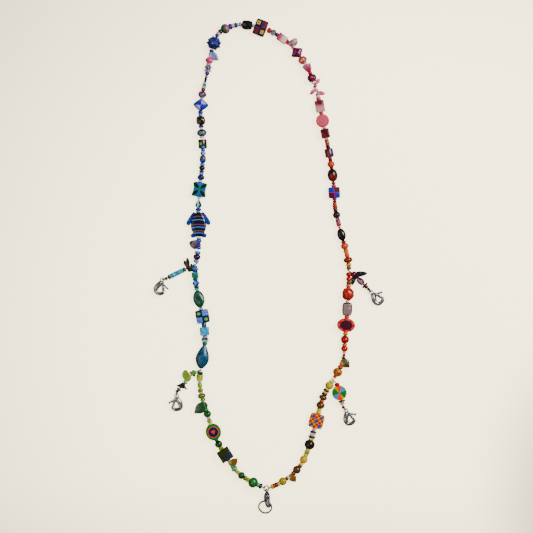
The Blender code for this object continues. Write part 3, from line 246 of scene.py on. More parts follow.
UPPER_RIGHT_4 = (
    ("round", 3.5, 4.2, "red"), ("round", 3.8, 4.0, "bright_red"), ("seed", 2.6, 3.2, "bronze"),
    ("seed", 2.6, 3.2, "orange_glass"), ("lumpy", 10.2, 9.0, "fire"), ("seed", 1.8, 2.4, "clear_pink"),
    ("pillow", 10.5, 7.4, "mauve_brown", 5.4), ("disc", 2.2, 3.4, "orange"),
)
UPPER_RIGHT_5 = (
    ("seed", 2.8, 3.0, "amber"), ("facet", 7.2, 6.3, "ruby"), ("disc", 1.8, 3.6, "amber"),
    ("round", 4.8, 4.8, "bright_red"), ("seed", 1.8, 2.4, "clear_pink"), ("bicone", 2.6, 2.6, "red_orange"),
    ("seed", 2.0, 2.6, "brown"), ("leaf", 3.4, 7.0, "olive_smoky", 9.6, 62), ("seed", 2.2, 2.9, "amber"),
    ("round", 3.4, 3.6, "red_orange"), ("round", 6.6, 6.6, "amber_brown"), ("seed", 1.2, 2.4, "orange"),
    ("seed", 1.2, 2.4, "orange"),
)
LOWER_RIGHT_1 = (
    ("disc", 1.7, 3.8, "pale_yellow"), ("round", 5.6, 5.8, "yellow_streaks"),
    ("disc", 1.4, 3.4, "pale_yellow"), ("disc", 1.6, 4.7, "dark_brown"), ("disc", 1.5, 3.6, "pale_yellow"),
    ("seed", 2.0, 3.9, "dark_brown"), ("rondelle", 4.2, 6.1, "bronze_olive"), ("seed", 1.8, 3.2, "amber"),
    ("round", 5.6, 5.9, "brown_gold"), ("disc", 1.7, 3.4, "pale_yellow"),
    ("round", 3.0, 3.7, "yellow_orange"),
)
LOWER_RIGHT_2 = (
    ("seed", 2.4, 2.6, "clear_pink"), ("disc", 1.5, 4.8, "dark_brown"), ("disc", 1.25, 4.2, "clear"),
    ("disc", 1.25, 4.2, "clear"), ("disc", 1.6, 5.1, "dark_brown"), ("disc", 1.6, 3.6, "pale_yellow"),
    ("round", 6.8, 7.2, "black_brown"), ("disc", 1.6, 3.4, "pale_yellow"),
    ("seed", 2.5, 3.4, "olive_clear"), ("disc", 1.6, 3.4, "pale_yellow"), ("oval", 6.3, 5.6, "yellow"),
    ("disc", 1.8, 3.0, "pale_yellow"), ("seed", 1.8, 3.0, "brown_gold"), ("round", 5.4, 5.6, "brown_gold"),
    ("seed", 2.2, 3.0, "copper"), ("leaf", 3.0, 5.8, "amber_petal", 8.4, 90), ("seed", 1.6, 2.6, "clear"),
    ("seed", 1.6, 2.6, "dark_brown"), ("round", 5.5, 5.5, "yellow_bands"),
    ("seed", 1.8, 3.0, "pale_yellow"), ("seed", 2.2, 3.2, "copper"), ("seed", 1.6, 3.2, "red"),
    ("seed", 1.7, 3.2, "yellow_stripes"),
)
# Down each half of the loop: every stop with its half length, and the runs of beads between the stops
LEFT_STRAND = (
    ("top_pivot", PIVOT_GAP), ("clay_square_tile", 5.1), ("upper_left_beads_1", UPPER_LEFT_1),
    ("blue_puffy_diamond", 4.9), ("upper_left_beads_2", UPPER_LEFT_2), ("left_pivot", PIVOT_GAP),
    ("lower_left_beads_1", LOWER_LEFT_1), ("blue_cross_tile", 6.1), ("lower_left_beads_2", LOWER_LEFT_2),
    ("striped_fish", 10.2), ("lower_left_beads_3", LOWER_LEFT_3), ("upper_left_loop", LOOP_ROOM),
    ("lower_left_beads_4", LOWER_LEFT_4), ("blue_quarter_tile", 5.5), ("lower_left_beads_5", LOWER_LEFT_5),
    ("teal_oval", 9.8), ("lower_left_loop", LOOP_ROOM), ("lower_left_beads_6", LOWER_LEFT_6),
    ("target_disc", 6.3), ("lower_left_beads_7", LOWER_LEFT_7), ("left_end", 1.6),
)
RIGHT_STRAND = (
    ("top_pivot", PIVOT_GAP), ("upper_right_beads_1", UPPER_RIGHT_1), ("swirl_coin", 5.4),
    ("upper_right_beads_2", UPPER_RIGHT_2), ("checker_tile", 4.55), ("upper_right_beads_3", UPPER_RIGHT_3),
    ("upper_right_loop", LOOP_ROOM), ("upper_right_beads_4", UPPER_RIGHT_4), ("clay_oval_disc", 5.7),
    ("upper_right_beads_5", UPPER_RIGHT_5), ("right_pivot", PIVOT_GAP), ("lower_right_loop", LOOP_ROOM),
    ("lower_right_beads_1", LOWER_RIGHT_1), ("millefiori_square", 6.0),
    ("lower_right_beads_2", LOWER_RIGHT_2), ("right_end", 1.6),
)

# Surfaces: transmission, lowest and highest roughness, coat, metallic
FAMILIES = {
    "glass": (0.2, 0.1, 0.22, 0.25, 0.0),
    "gloss": (0.0, 0.16, 0.32, 0.25, 0.0),
    "silk": (0.0, 0.2, 0.38, 0.4, 0.3),
    "clay": (0.0, 0.4, 0.6, 0.0, 0.0),
    "metal": (0.0, 0.16, 0.34, 0.0, 1.0),
}
# The looks by family and pattern. The first colour of a look is the ground of its pattern.
LOOK_GROUPS = {
    ("glass", "cloud"): {
        "clear": ("#e6dcdc", "#f7f1ee"), "clear_pink": ("#d9a9b4", "#f3dfe3"),
        "clear_mauve": ("#b3a3c4", "#e2dcea"), "pale_aqua": ("#a8cdd3", "#dceff0"),
        "lilac": ("#b287b4", "#dfc6e0"), "mauve": ("#5f4564", "#a58bab"), "pink": ("#e0688c", "#f8a8c0"),
        "salmon": ("#c04850", "#eca094"), "grey_pink": ("#9b7a83", "#d8c1c4"),
        "ruby": ("#a80820", "#d01c38"), "smoky_blue": ("#5c6478", "#b4bcc8"),
        "smoky_crystal": ("#6d6b78", "#d9d7df"), "grey_lavender": ("#584660", "#9c8a98"),
        "olive_smoky": ("#545014", "#b0b088"), "amber_brown": ("#985004", "#e8a830"),
        "yellow_olive": ("#a8a008", "#dcd420"), "olive_clear": ("#98a03c", "#d0d480"),
        "lime_clear": ("#a0b418", "#d4e050"),
    },
    ("glass", "down"): {
        "slate": ("#6e6862", "#2a55a4"), "pink_fade": ("#cc5484", "#f8d8dc"),
        "plum_fade": ("#8c1444", "#e8a8b4"), "tulip_pink": ("#d8709c", "#b83c74"),
    },
    ("glass", "rim"): {"mauve_brown": ("#a58a90", "#3b2230")},
    ("glass", "veins"): {
        "lavender": ("#7f8fc8", "#c8d0ec"), "petal_green": ("#84a828", "#c4d868"),
        "amber_petal": ("#8c6408", "#c89c20"),
    },
    ("gloss", "cloud"): {
        "white": ("#e9e6e2", "#fbfaf7"), "pale_blue": ("#a9c3e2", "#dbe7f5"),
        "light_blue": ("#4a84e0", "#86b8f8"), "cornflower": ("#3a62d8", "#6a90f0"),
        "blue": ("#1430b4", "#3058e0"), "navy": ("#10125c", "#2a34a0"), "indigo": ("#201c70", "#3c3ab0"),
        "dark_plum": ("#2b1030", "#5a2a5c"), "hot_pink": ("#e8247c", "#ff5ca0"),
        "magenta": ("#8c1b52", "#bb3d7c"), "dark_crimson": ("#3f0512", "#8c1730"),
        "red": ("#a40010", "#c80c14"), "bright_red": ("#bc0008", "#dc1010"),
        "maroon": ("#340814", "#701428"), "wine_seed": ("#8c1c44", "#bc4468"),
        "black": ("#08080b", "#1c1c24"), "black_facet": ("#060508", "#20202c"),
        "brown": ("#3c1a0e", "#7a4424"), "dark_brown": ("#301408", "#6c3c18"),
        "orange": ("#dc4400", "#f05000"), "orange_glass": ("#e05400", "#f47410"),
        "red_orange": ("#d02800", "#e44410"), "amber": ("#cc7800", "#e49800"),
        "pale_yellow": ("#d8cc50", "#ece480"), "yellow": ("#dcac00", "#f0c400"),
        "yellow_orange": ("#e0c000", "#f8e000"), "olive": ("#64780a", "#98a820"),
        "lime": ("#80a008", "#b8cc20"), "light_green": ("#38a04c", "#84d47c"),
        "dark_green": ("#04481c", "#107c34"), "dark_teal": ("#04393c", "#0c6a68"),
        "teal": ("#06706c", "#24a898"), "turquoise": ("#08a8cc", "#58dcf0"),
        "turquoise_glass": ("#0090c8", "#40c8ec"), "aventurine": ("#1c6c34", "#3c9850"),
        "dagger_pink": ("#d0487c", "#f088a8"), "turquoise_satin": ("#189cb8", "#68d4e8"),
    },
    ("gloss", "across"): {"crimson_violet": ("#8d1130", "#5a2a6f")},
    ("gloss", "bands"): {
        "olive_stripes": ("#3a3f14", "#b9b442"), "red_stripes": ("#c80810", "#e4d000"),
        "yellow_stripes": ("#e4d400", "#c80c10"), "yellow_bands": ("#d4c400", "#6a4410"),
    },
    ("gloss", "down"): {"ember": ("#44080e", "#80200c"), "lampwork": ("#b8688c", "#0c6c4c")},
    ("gloss", "rings"): {"curls": ("#0a0b12", "#8ea3c0")},
    ("gloss", "spots"): {"spotted": ("#101c3f", "#9fb43a", "#a02a68")},
    ("gloss", "streaks"): {
        "raspberry": ("#b41c44", "#d8506c"), "brown_gold": ("#4c2808", "#b88030"),
        "black_brown": ("#0f0a09", "#573523"), "fire": ("#a80410", "#e44810"),
        "yellow_streaks": ("#dccc00", "#8c7000"), "teal_leaf": ("#04503c", "#109070"),
        "teal_flutes": ("#045070", "#0c84a4"),
    },
    # The teal drop's pale stripe and the blue round's cyan stripe are painted highlights.
    ("gloss", "stripe"): {
        "teal_drop": ("#085c78", "#a0f4ec"), "blue_cyan": ("#0c50c8", "#58c8f8"),
        "black_turquoise": ("#0a0c10", "#2aa6b4"),
    },
    ("gloss", "tips"): {"navy_star": ("#1a2270", "#5060b0")},
    ("silk", "cloud"): {
        "plum": ("#701040", "#a02c68"), "wine": ("#5c0c2c", "#902848"),
        "green_black": ("#101408", "#34401c"), "bronze": ("#5d3a1d", "#a47a45"),
        "copper": ("#7a3414", "#b9683a"), "brick": ("#8c1c0c", "#c03a18"),
        "purple_maroon": ("#3c1638", "#7b3a63"), "black_metal": ("#17171a", "#34343a"),
    },
    ("silk", "facets"): {"plum_puff": ("#640c48", "#b03088")},
    ("silk", "flecks"): {"black_gold": ("#0f0c0e", "#9a7433")},
    ("silk", "streaks"): {
        "bronze_olive": ("#6c4814", "#a87c38"), "black_maroon": ("#0c0306", "#3c0c18"),
        "ring_steel": ("#545054", "#949094"), "gunmetal": ("#343236", "#807c80"),
    },
    # The wine pearl's pale stripe is a painted sheen.
    ("silk", "stripe"): {"wine_pearl": ("#700c40", "#d890c8")},
    ("silk", "veins"): {"leaf_green": ("#1c5a30", "#7ca488")},
    ("clay", "cloud"): {"fin_blue": ("#0c389c", "#2058c4")},
    ("clay", "lined"): {"lined_olive": ("#2c3414", "#6c8428", "#3c3860")},
    # The steel's pale cloud is painted highlight spots on a darker base.
    ("metal", "cloud"): {"steel": ("#88868c", "#d0d0d4")},
}
LOOKS = {}
for kind_of_look, group in LOOK_GROUPS.items():
    for look_name, look_colours in group.items():
        LOOKS[look_name] = (*kind_of_look, *look_colours)


def linear(hex_colour):
    """A colour from its hex code, as the shader wants it."""
    channels = []
    for start in (1, 3, 5):
        value = int(hex_colour[start:start + 2], 16) / 255
        channels.append(value / 12.92 if value <= 0.04045 else ((value + 0.055) / 1.055) ** 2.4)
    return (*channels, 1.0)


def deep(hex_colour):
    """The same colour with its darker channels held down, as it is in the thickness of a bead."""
    return (*(channel ** DEPTH for channel in linear(hex_colour)[:3]), 1.0)


class Field:
    """A number that varies over a surface: arithmetic on it adds Math nodes to the material."""

    def __init__(self, tree, socket):
        self.tree = tree
        self.socket = socket

    def math(self, operation, *others):
        node = self.tree.nodes.new("ShaderNodeMath")
        node.operation = operation
        self.tree.links.new(self.socket, node.inputs[0])
        for slot, other in enumerate(others, 1):
            if isinstance(other, Field):
                self.tree.links.new(other.socket, node.inputs[slot])
            else:
                node.inputs[slot].default_value = other
        return Field(self.tree, node.outputs[0])

    def __add__(self, other):
        return self.math("ADD", other)

    def __sub__(self, other):
        return self.math("SUBTRACT", other)

    def __mul__(self, other):
        return self.math("MULTIPLY", other)

    def __abs__(self):
        return self.math("ABSOLUTE")

    def above(self, other):
        return self.math("GREATER_THAN", other)

    def below(self, other):
        return self.math("LESS_THAN", other)

    def largest(self, other):
        return self.math("MAXIMUM", other)

    def smallest(self, other):
        return self.math("MINIMUM", other)

    def wave(self):
        return self.math("SINE")

    def soft(self, low, high):
        """0 below low, 1 above high, and a smooth step between them."""
        node = self.tree.nodes.new("ShaderNodeMapRange")
        node.interpolation_type = "SMOOTHSTEP"
        self.tree.links.new(self.socket, node.inputs["Value"])
        node.inputs["From Min"].default_value = low
        node.inputs["From Max"].default_value = high
        return Field(self.tree, node.outputs["Result"])


def length_of(first, second):
    """The length of the vector with these two parts."""
    return (first * first + second * second).math("SQRT")


class Paint:
    """A material under construction: its bead coordinates, its noises, and its colour so far."""

    def __init__(self, name, ground):
        self.material = bpy.data.materials.new("look_" + name)
        self.material.use_nodes = True
        self.tree = self.material.node_tree
        self.shader = self.tree.nodes["Principled BSDF"]
        own = self.tree.nodes.new("ShaderNodeAttribute")
        own.attribute_name = "bead"
        split = self.tree.nodes.new("ShaderNodeSeparateXYZ")
        self.tree.links.new(own.outputs["Vector"], split.inputs[0])
        self.bead = own.outputs["Vector"]
        self.x, self.y, self.z = (Field(self.tree, output) for output in split.outputs)
        self.place = self.tree.nodes.new("ShaderNodeTexCoord").outputs["Object"]
        self.ground = deep(ground)
        self.colour = None

    def noise(self, scale, detail=3.0, stretch=None):
        """Cloudy noise: fixed to the bead where it is stretched, and different on each bead where not."""
        node = self.tree.nodes.new("ShaderNodeTexNoise")
        node.inputs["Scale"].default_value = scale
        node.inputs["Detail"].default_value = detail
        vector = self.place
        if stretch:
            mapping = self.tree.nodes.new("ShaderNodeMapping")
            mapping.inputs["Scale"].default_value = stretch
            self.tree.links.new(self.bead, mapping.inputs["Vector"])
            vector = mapping.outputs["Vector"]
        self.tree.links.new(vector, node.inputs["Vector"])
        return Field(self.tree, node.outputs["Fac"])

    def spots(self, scale):
        node = self.tree.nodes.new("ShaderNodeTexVoronoi")
        node.inputs["Scale"].default_value = scale
        self.tree.links.new(self.place, node.inputs["Vector"])
        return Field(self.tree, node.outputs["Distance"])

    def cover(self, mask, colour, blend="MIX"):
        """Lay a colour over what is there, wherever the mask is 1."""
        node = self.tree.nodes.new("ShaderNodeMix")
        node.data_type = "RGBA"
        node.blend_type = blend
        node.clamp_factor = True
        self.tree.links.new(mask.socket, node.inputs["Factor"])
        if self.colour is None:
            node.inputs[6].default_value = self.ground
        else:
            self.tree.links.new(self.colour, node.inputs[6])
        node.inputs[7].default_value = deep(colour)
        self.colour = node.outputs[2]

    def finish(self, family):
        """Connect the colour, and give the surface its gloss, its small dents and its uneven roughness."""
        transmission, smooth, rough, coat, metallic = FAMILIES[family]
        self.cover(self.noise(2600.0, 2.0).soft(0.5, 0.8) * 0.16, "#1a1416")
        self.tree.links.new(self.colour, self.shader.inputs["Base Color"])
        self.shader.inputs["Transmission Weight"].default_value = transmission
        self.shader.inputs["Metallic"].default_value = metallic
        self.shader.inputs["Coat Weight"].default_value = coat
        self.shader.inputs["Coat Roughness"].default_value = 0.06
        self.shader.inputs["IOR"].default_value = 1.5
        self.shader.inputs["Specular IOR Level"].default_value = 0.15 if family == "clay" else 0.35
        uneven = self.noise(900.0, 3.0) * (rough - smooth) + smooth
        self.tree.links.new(uneven.socket, self.shader.inputs["Roughness"])
        bump = self.tree.nodes.new("ShaderNodeBump")
        bump.inputs["Strength"].default_value = 0.35 if family == "clay" else 0.12
        bump.inputs["Distance"].default_value = 0.0001
        self.tree.links.new(self.noise(1500.0, 4.0).socket, bump.inputs["Height"])
        self.tree.links.new(bump.outputs["Normal"], self.shader.inputs["Normal"])
        return self.material


def pattern_cloud(paint, colours):
    paint.cover(paint.noise(330.0).soft(0.38, 0.66), colours[1])


def pattern_tips(paint, colours):
    """Dark spikes on a mottled core: the middle of the bead is the middle of its own frame."""
    pattern_cloud(paint, colours)
    far = length_of(length_of(paint.x, paint.y), paint.z)
    paint.cover(far.soft(5.6, 6.6), "#040408")


def pattern_streaks(paint, colours):
    paint.cover(paint.noise(0.9, 4.0, (0.35, 1.4, 1.4)).soft(0.45, 0.68), colours[1])


def pattern_veins(paint, colours):
    """A leaf's middle rib, with side ribs that leave it slanting."""
    side = paint.x - abs(paint.y) * 0.9
    ribs = abs((side * 2.3).wave())
    paint.cover(ribs.below(0.3) * 0.7, colours[1])
    paint.cover(abs(paint.y).below(0.28) * 0.9, colours[1])


def pattern_flecks(paint, colours):
    paint.cover(paint.spots(900.0).below(0.28) * 0.8, colours[1])
    paint.cover(paint.noise(420.0).soft(0.5, 0.75) * 0.6, colours[1])


def pattern_rings(paint, colours):
    """A curl on each side: two fine rings about a point off the middle."""
    far = length_of(abs(paint.y) - 1.56, paint.x - 0.3)
    paint.cover(abs(far - 1.25).below(0.27), colours[1])
    paint.cover(abs(far - 0.35).below(0.2), colours[1])


def pattern_down(paint, colours):
    waver = paint.noise(260.0) * 1.6 - 0.8
    paint.cover((paint.x + waver).soft(-2.56, 1.76), colours[1])


def pattern_across(paint, colours):
    waver = paint.noise(300.0) * 2.4 - 1.2
    paint.cover((paint.y + waver).soft(-0.6, 0.7), colours[1])


def pattern_spots(paint, colours):
    paint.cover(paint.noise(420.0).soft(0.52, 0.62) * 0.9, "#2f6f4b")
    paint.cover(length_of(paint.x + 0.3, paint.y + 1.7).below(1.25), colours[1])
    paint.cover(length_of(paint.x + 2.2, paint.y - 1.5).below(1.2), colours[2])
    paint.cover(length_of(paint.x - 2.9, paint.y - 0.6).below(1.0), "#6fa6d8")


# A pale stripe down one side of the bead: on the teal drop, the blue round and the wine pearl it is a painted
# highlight.
def pattern_stripe(paint, colours):
    paint.cover(abs(paint.y + 0.5).soft(0.9, 0.35), colours[1])


def pattern_bands(paint, colours):
    waver = paint.noise(500.0) * 1.2
    paint.cover(((paint.x + waver) * 4.0).wave().soft(0.1, 0.5), colours[1])


def pattern_rim(paint, colours):
    edge = (abs(paint.x) - 4.2).largest(abs(paint.y) - 2.9)
    paint.cover(edge.soft(0.0, 0.6), colours[1])
    paint.cover(paint.noise(380.0).soft(0.5, 0.7) * 0.5, "#d8c3c6")


def pattern_facets(paint, colours):
    paint.cover((paint.x * paint.y).above(0.0) * 0.8, colours[1])
    paint.cover(paint.noise(350.0).soft(0.5, 0.7) * 0.5, colours[0])


def pattern_lined(paint, colours):
    paint.cover((paint.x * 3.4).wave().above(0.93) * 0.6, colours[1])
    paint.cover((paint.y * 3.4).wave().above(0.96) * 0.5, colours[1])
    paint.cover((paint.x + paint.y * 0.7).above(2.2), colours[2])


PATTERNS = {
    "cloud": pattern_cloud, "streaks": pattern_streaks, "veins": pattern_veins, "flecks": pattern_flecks,
    "rings": pattern_rings, "down": pattern_down, "across": pattern_across, "spots": pattern_spots,
    "stripe": pattern_stripe, "bands": pattern_bands, "rim": pattern_rim, "facets": pattern_facets,
    "lined": pattern_lined, "tips": pattern_tips,
}


MADE = {}  # the materials made so far, by look


def look_material(look):
    """The material of a look, made once."""
    if look not in MADE:
        if look in FLAT_LOOKS:
            family, ground, painter = FLAT_LOOKS[look]
            paint = Paint(look, ground)
            painter(paint)
        else:
            family, pattern, *colours = LOOKS[look]
            paint = Paint(look, colours[0])
            PATTERNS[pattern](paint, colours)
        MADE[look] = paint.finish(family)
    return MADE[look]


def paint_clay_square_tile(paint):
    """Quarters in turn: mauve, and a navy frame round yellow round orange."""
    x, y = paint.x, paint.y
    paint.cover(paint.noise(500.0).soft(0.4, 0.7) * 0.7, "#90205c")
    framed = (x * y).below(0.0)
    reach = (abs(abs(x) - 2.5) * 1.15).largest(abs(abs(y) - 3.2))
    paint.cover(framed, "#12145c")
    paint.cover(framed * reach.below(1.9), "#0c6048")
    paint.cover(framed * reach.below(1.4), "#e8c800")
    paint.cover(framed * reach.below(0.75), "#e01c00")
    paint.cover(abs(x).smallest(abs(y)).below(0.25), "#1d1c50")


def paint_puffy_diamond(paint):
    x, y = paint.x, paint.y
    paint.cover(paint.noise(420.0).soft(0.4, 0.65), "#4c5cd0")
    paint.cover((x * y).below(0.0), "#c0b0ec")
    paint.cover((abs(y) - abs(x) * 0.5).above(3.8), "#1454b8")
    paint.cover(abs(x).below(0.4), "#1530a8")
    paint.cover(abs(y).below(0.3), "#2a2f9c")
    paint.cover((abs(x) * 1.15 + abs(y)).above(5.5), "#1733b4")


def paint_cross_tile(paint):
    x, y = paint.x, paint.y
    paint.cover(paint.noise(420.0).soft(0.4, 0.65), "#2f7fe0")
    along = abs((x + y) * 0.707).largest(abs((x - y) * 0.707))
    aside = abs((x + y) * 0.707).smallest(abs((x - y) * 0.707))
    leaf = aside + (along - 4.1) * (along - 4.1) * 0.13
    paint.cover(leaf.below(2.05), "#1f8a4e")
    paint.cover(leaf.below(1.2), "#0a1038")


def paint_fish(paint):
    x, y = paint.x, paint.y
    paint.cover(paint.noise(420.0).soft(0.4, 0.7), "#1a2352")
    for middle in (-4.4, 1.5, 6.2):
        paint.cover(abs(x - middle - abs(y) * 0.12).below(0.4), "#5f97ee")
    for middle in (-7.0, -0.6, 4.5):
        paint.cover(abs(x - middle - abs(y) * 0.12).below(0.36), "#946874")


def paint_blue_quarter_tile(paint):
    x, y = paint.x, paint.y
    inner_x, inner_y = abs(abs(x) - 2.6), abs(abs(y) - 2.6)
    paint.cover(paint.noise(420.0).soft(0.4, 0.7), "#86aef2")
    paint.cover(inner_x.smallest(inner_y).below(0.22), "#4468c8")
    dark = (x * y).above(0.0)
    reach = inner_x.largest(inner_y)
    paint.cover(dark, "#191a66")
    eye = length_of(inner_x * 1.1, inner_y * 0.9)
    paint.cover(dark * eye.below(1.5), "#4f8a50")
    paint.cover(dark * eye.below(1.2), "#7fd02a")
    paint.cover(abs(x).smallest(abs(y)).below(0.4), "#191a66")
    paint.cover(abs(x).largest(abs(y)).above(4.75), "#22247a")


def paint_checker_tile(paint):
    x, y = paint.x, paint.y
    paint.cover(paint.noise(420.0).soft(0.4, 0.7) * 0.6, "#701030")
    paint.cover((x * y).above(0.0), "#0c38b8")
    paint.cover((x * y).above(0.0) * paint.noise(500.0).soft(0.5, 0.7), "#1c50d0")
    paint.cover(abs(x).smallest(abs(y)).below(0.3), "#b02a80")
    paint.cover(abs(x).above(4.15), "#8a1f66")
    paint.cover(abs(y).above(4.35), "#8a1f66")


def paint_target_disc(paint):
    x, y = paint.x, paint.y
    far = length_of(x, y)
    paint.cover(paint.noise(450.0).soft(0.4, 0.7), "#10802c")
    paint.cover(far.below(4.5), "#f05028")
    paint.cover(far.below(3.95), "#12145c")
    paint.cover(far.below(3.95) * paint.spots(1500.0).below(0.25), "#3040a8")
    lobes = length_of(abs(y) - 0.75, x + 0.7).below(1.0)
    point = (abs(y) * 0.87 + x * 0.5).below(1.05) * x.above(-0.7)
    paint.cover(lobes.largest(point), "#e84800")


def paint_swirl_coin(paint):
    far = length_of(paint.x, paint.y)
    turn = paint.y.math("ARCTAN2", paint.x)
    swirl = (turn + far * 2.6).wave()
    paint.cover(swirl.soft(-0.2, 0.5), "#e0809a")
    paint.cover(swirl.above(0.86) * 0.8, "#b8406a")
    paint.cover(far.above(4.4), "#f04400")


def paint_oval_disc(paint):
    x, y = paint.x, paint.y
    far = length_of(x * 1.29, y)
    turn = y.math("ARCTAN2", x * 1.29)
    paint.cover(paint.noise(430.0).soft(0.4, 0.7), "#640c3c")
    rim = far.above(5.0)
    paint.cover(rim, "#a8105c")
    paint.cover(rim * (turn * 7.0).wave().above(-0.35), "#f04800")


def paint_millefiori(paint):
    x, y = paint.x, paint.y
    paint.cover(((x * 1.7).wave() * (y * 1.7).wave()).above(0.12), "#dcb400")
    dots = length_of(abs(x) - 3.3, abs(y) - 3.3).smallest(length_of(x, y))
    paint.cover(dots.below(1.3), "#0068a0")


def paint_pinwheel(paint):
    """Eight wedges of colour round the middle: the first is the ground."""
    turn = (paint.y.math("ARCTAN2", paint.x) * (1 / (2 * math.pi)) + 0.231).math("FRACT")
    orange, yellow, green, sky = "#ec5000", "#dca400", "#1c8c20", "#00a4dc"
    edges = (0.125, 0.25, 0.32, 0.5, 0.625, 0.75, 0.82)
    for edge, colour in zip(edges, (orange, yellow, green, sky, orange, yellow, green)):
        paint.cover(turn.above(edge), colour)
    paint.cover(abs(paint.z).below(1.25) * length_of(paint.x, paint.y).above(5.9) * 0.6, "#7a3f1c")


# The looks of the large flat beads: family, ground, and what paints over the ground
FLAT_LOOKS = {
    "clay_square_tile": ("clay", "#6e2450", paint_clay_square_tile),
    "blue_puffy_diamond": ("clay", "#2434b0", paint_puffy_diamond),
    "blue_cross_tile": ("clay", "#1c5fd0", paint_cross_tile),
    "striped_fish": ("silk", "#0a0d20", paint_fish),
    "blue_quarter_tile": ("clay", "#6f98ea", paint_blue_quarter_tile),
    "checker_tile": ("clay", "#6a1532", paint_checker_tile),
    "target_disc": ("clay", "#0c9030", paint_target_disc),
    "swirl_coin": ("clay", "#d25a80", paint_swirl_coin),
    "clay_oval_disc": ("clay", "#540c30", paint_oval_disc),
    "millefiori_square": ("clay", "#d01810", paint_millefiori),
    "pinwheel_coin": ("clay", "#00a4dc", paint_pinwheel),
}


def band(shapes, closed=False):
    """Points and faces that join rings of equal length, with caps on an open band."""
    points = [point for ring in shapes for point in ring]
    sides = len(shapes[0])
    faces = []
    for ring in range(len(shapes) if closed else len(shapes) - 1):
        for index in range(sides):
            after = (index + 1) % sides
            first, second = ring * sides, (ring + 1) % len(shapes) * sides
            faces.append((first + index, first + after, second + after, second + index))
    if not closed:
        faces.append(tuple(range(sides)))
        faces.append(tuple(range(len(points) - sides, len(points))))
    return points, faces


def ring_across(x, side, up, corners):
    """A ring of points round X, so far to its side and so far up."""
    turns = [2 * math.pi * index / corners for index in range(corners)]
    return [(x, side * math.cos(turn), up * math.sin(turn)) for turn in turns]


def ring_level(radius, height, corners):
    """A level ring of points round Z."""
    turns = [2 * math.pi * index / corners for index in range(corners)]
    return [(radius * math.cos(turn), radius * math.sin(turn), height) for turn in turns]


def angle_matrix(degrees, axis):
    """A turn about one axis."""
    return Matrix.Rotation(math.radians(degrees), 4, axis)


def way(degrees):
    """The level direction of a heading."""
    return Vector((math.cos(math.radians(degrees)), math.sin(math.radians(degrees)), 0))


def round_section(turn):
    return math.cos(turn), math.sin(turn)


def box_section(power, flat=1.0):
    """A square section with rounded corners; a higher power is squarer."""
    def section(turn):
        across, up = math.cos(turn), math.sin(turn)
        width = math.copysign(abs(across) ** (2 / power), across)
        height = math.copysign(abs(up) ** (2 / power), up)
        return width, height * flat
    return section


def lobed_section(count, depth, flat=1.0):
    """A round section with this many lobes; flat presses it down."""
    def section(turn):
        reach = 1 - depth + depth * abs(math.cos(count * turn / 2))
        return reach * math.cos(turn), reach * math.sin(turn) * flat
    return section


def strung(profile, sides=20, section=round_section, twist=0.0):
    """A bead from its profile (x, radius), with a hole along the thread."""
    outline = list(profile) + [(profile[-1][0] * 0.8, BORE), (profile[0][0] * 0.8, BORE)]
    rings = []
    for index, (x, radius) in enumerate(outline):
        in_bore = index >= len(profile)
        ring = []
        for step in range(sides):
            turn = 2 * math.pi * step / sides
            across, up = round_section(turn) if in_bore else section(turn)
            spin = math.radians(twist) * x
            y = radius * (across * math.cos(spin) - up * math.sin(spin))
            z = radius * (across * math.sin(spin) + up * math.cos(spin))
            ring.append((x, y, z))
        rings.append(ring)
    return band(rings, closed=True)


def arc_profile(length, radius, fullness=1.0, steps=9, least=0.55):
    """A rounded profile; fullness under 1 makes its side fuller, and over 1 leaner."""
    low = math.acos(min(1.0, (least / radius) ** (1 / fullness)))
    profile = []
    for step in range(steps):
        turn = -low + 2 * low * step / (steps - 1)
        profile.append((length / 2 * math.sin(turn) / math.sin(low), radius * math.cos(turn) ** fullness))
    return profile


def wall_profile(length, radius, soft=0.3):
    """A straight-sided profile with softened rims."""
    half = length / 2
    return (
        (-half, radius - soft), (-half + soft * 0.3, radius - soft * 0.3), (-half + soft, radius),
        (0.0, radius), (half - soft, radius), (half - soft * 0.3, radius - soft * 0.3), (half, radius - soft),
    )


def moved(shape, matrix):
    """The shape turned and shifted by the matrix."""
    points, faces = shape
    return [tuple(matrix @ Vector(point)) for point in points], faces


def roughened(shape, amount, scale, seed):
    """The shape with its points pushed in and out, for chips, nuggets and lumps."""
    points, faces = shape
    changed = []
    for point in points:
        here = Vector(point)
        push = noise.noise(here * scale + Vector((seed, seed * 1.7, 3.1)))
        changed.append(tuple(here * (1 + amount * push)))
    return changed, faces


def normals_of(outline):
    """The outward direction at each corner of an outline that runs either way round."""
    count = len(outline)
    area = 0.0
    for index, (x, y) in enumerate(outline):
        next_x, next_y = outline[(index + 1) % count]
        area += x * next_y - next_x * y
    side = 1.0 if area > 0 else -1.0
    found = []
    for index in range(count):
        before, after = Vector(outline[index - 1]), Vector(outline[(index + 1) % count])
        along = (after - before).normalized()
        found.append(Vector((along.y, -along.x)) * side)
    return found


def softened(outline, rounds=2):
    """The outline with its corners cut off, again and again."""
    for _ in range(rounds):
        cut = []
        for index, point in enumerate(outline):
            here, after = Vector(point), Vector(outline[(index + 1) % len(outline)])
            cut += [tuple(here.lerp(after, 0.25)), tuple(here.lerp(after, 0.75))]
        outline = cut
    return outline


def slab(outline, thickness, soft=0.5, crown=0.0):
    """A flat piece with rounded edges, and a face that rises by crown towards its middle."""
    half = thickness / 2
    normals = normals_of(outline)
    rings = []
    for angle in (90, 60, 30, 0, -30, -60, -90):
        reach, rise = math.cos(math.radians(angle)), math.sin(math.radians(angle))
        height = (half - soft) * (1 if rise > 0 else -1 if rise < 0 else 0) + soft * rise
        inset = soft * (1 - reach)
        ring = [(x - n.x * inset, y - n.y * inset, height) for (x, y), n in zip(outline, normals)]
        rings.append(ring)
    if crown:
        top = [(x * 0.55, y * 0.55, z + crown) for x, y, z in rings[0]]
        foot = [(x * 0.55, y * 0.55, z - crown) for x, y, z in rings[-1]]
        rings = [top] + rings + [foot]
    return band(rings)


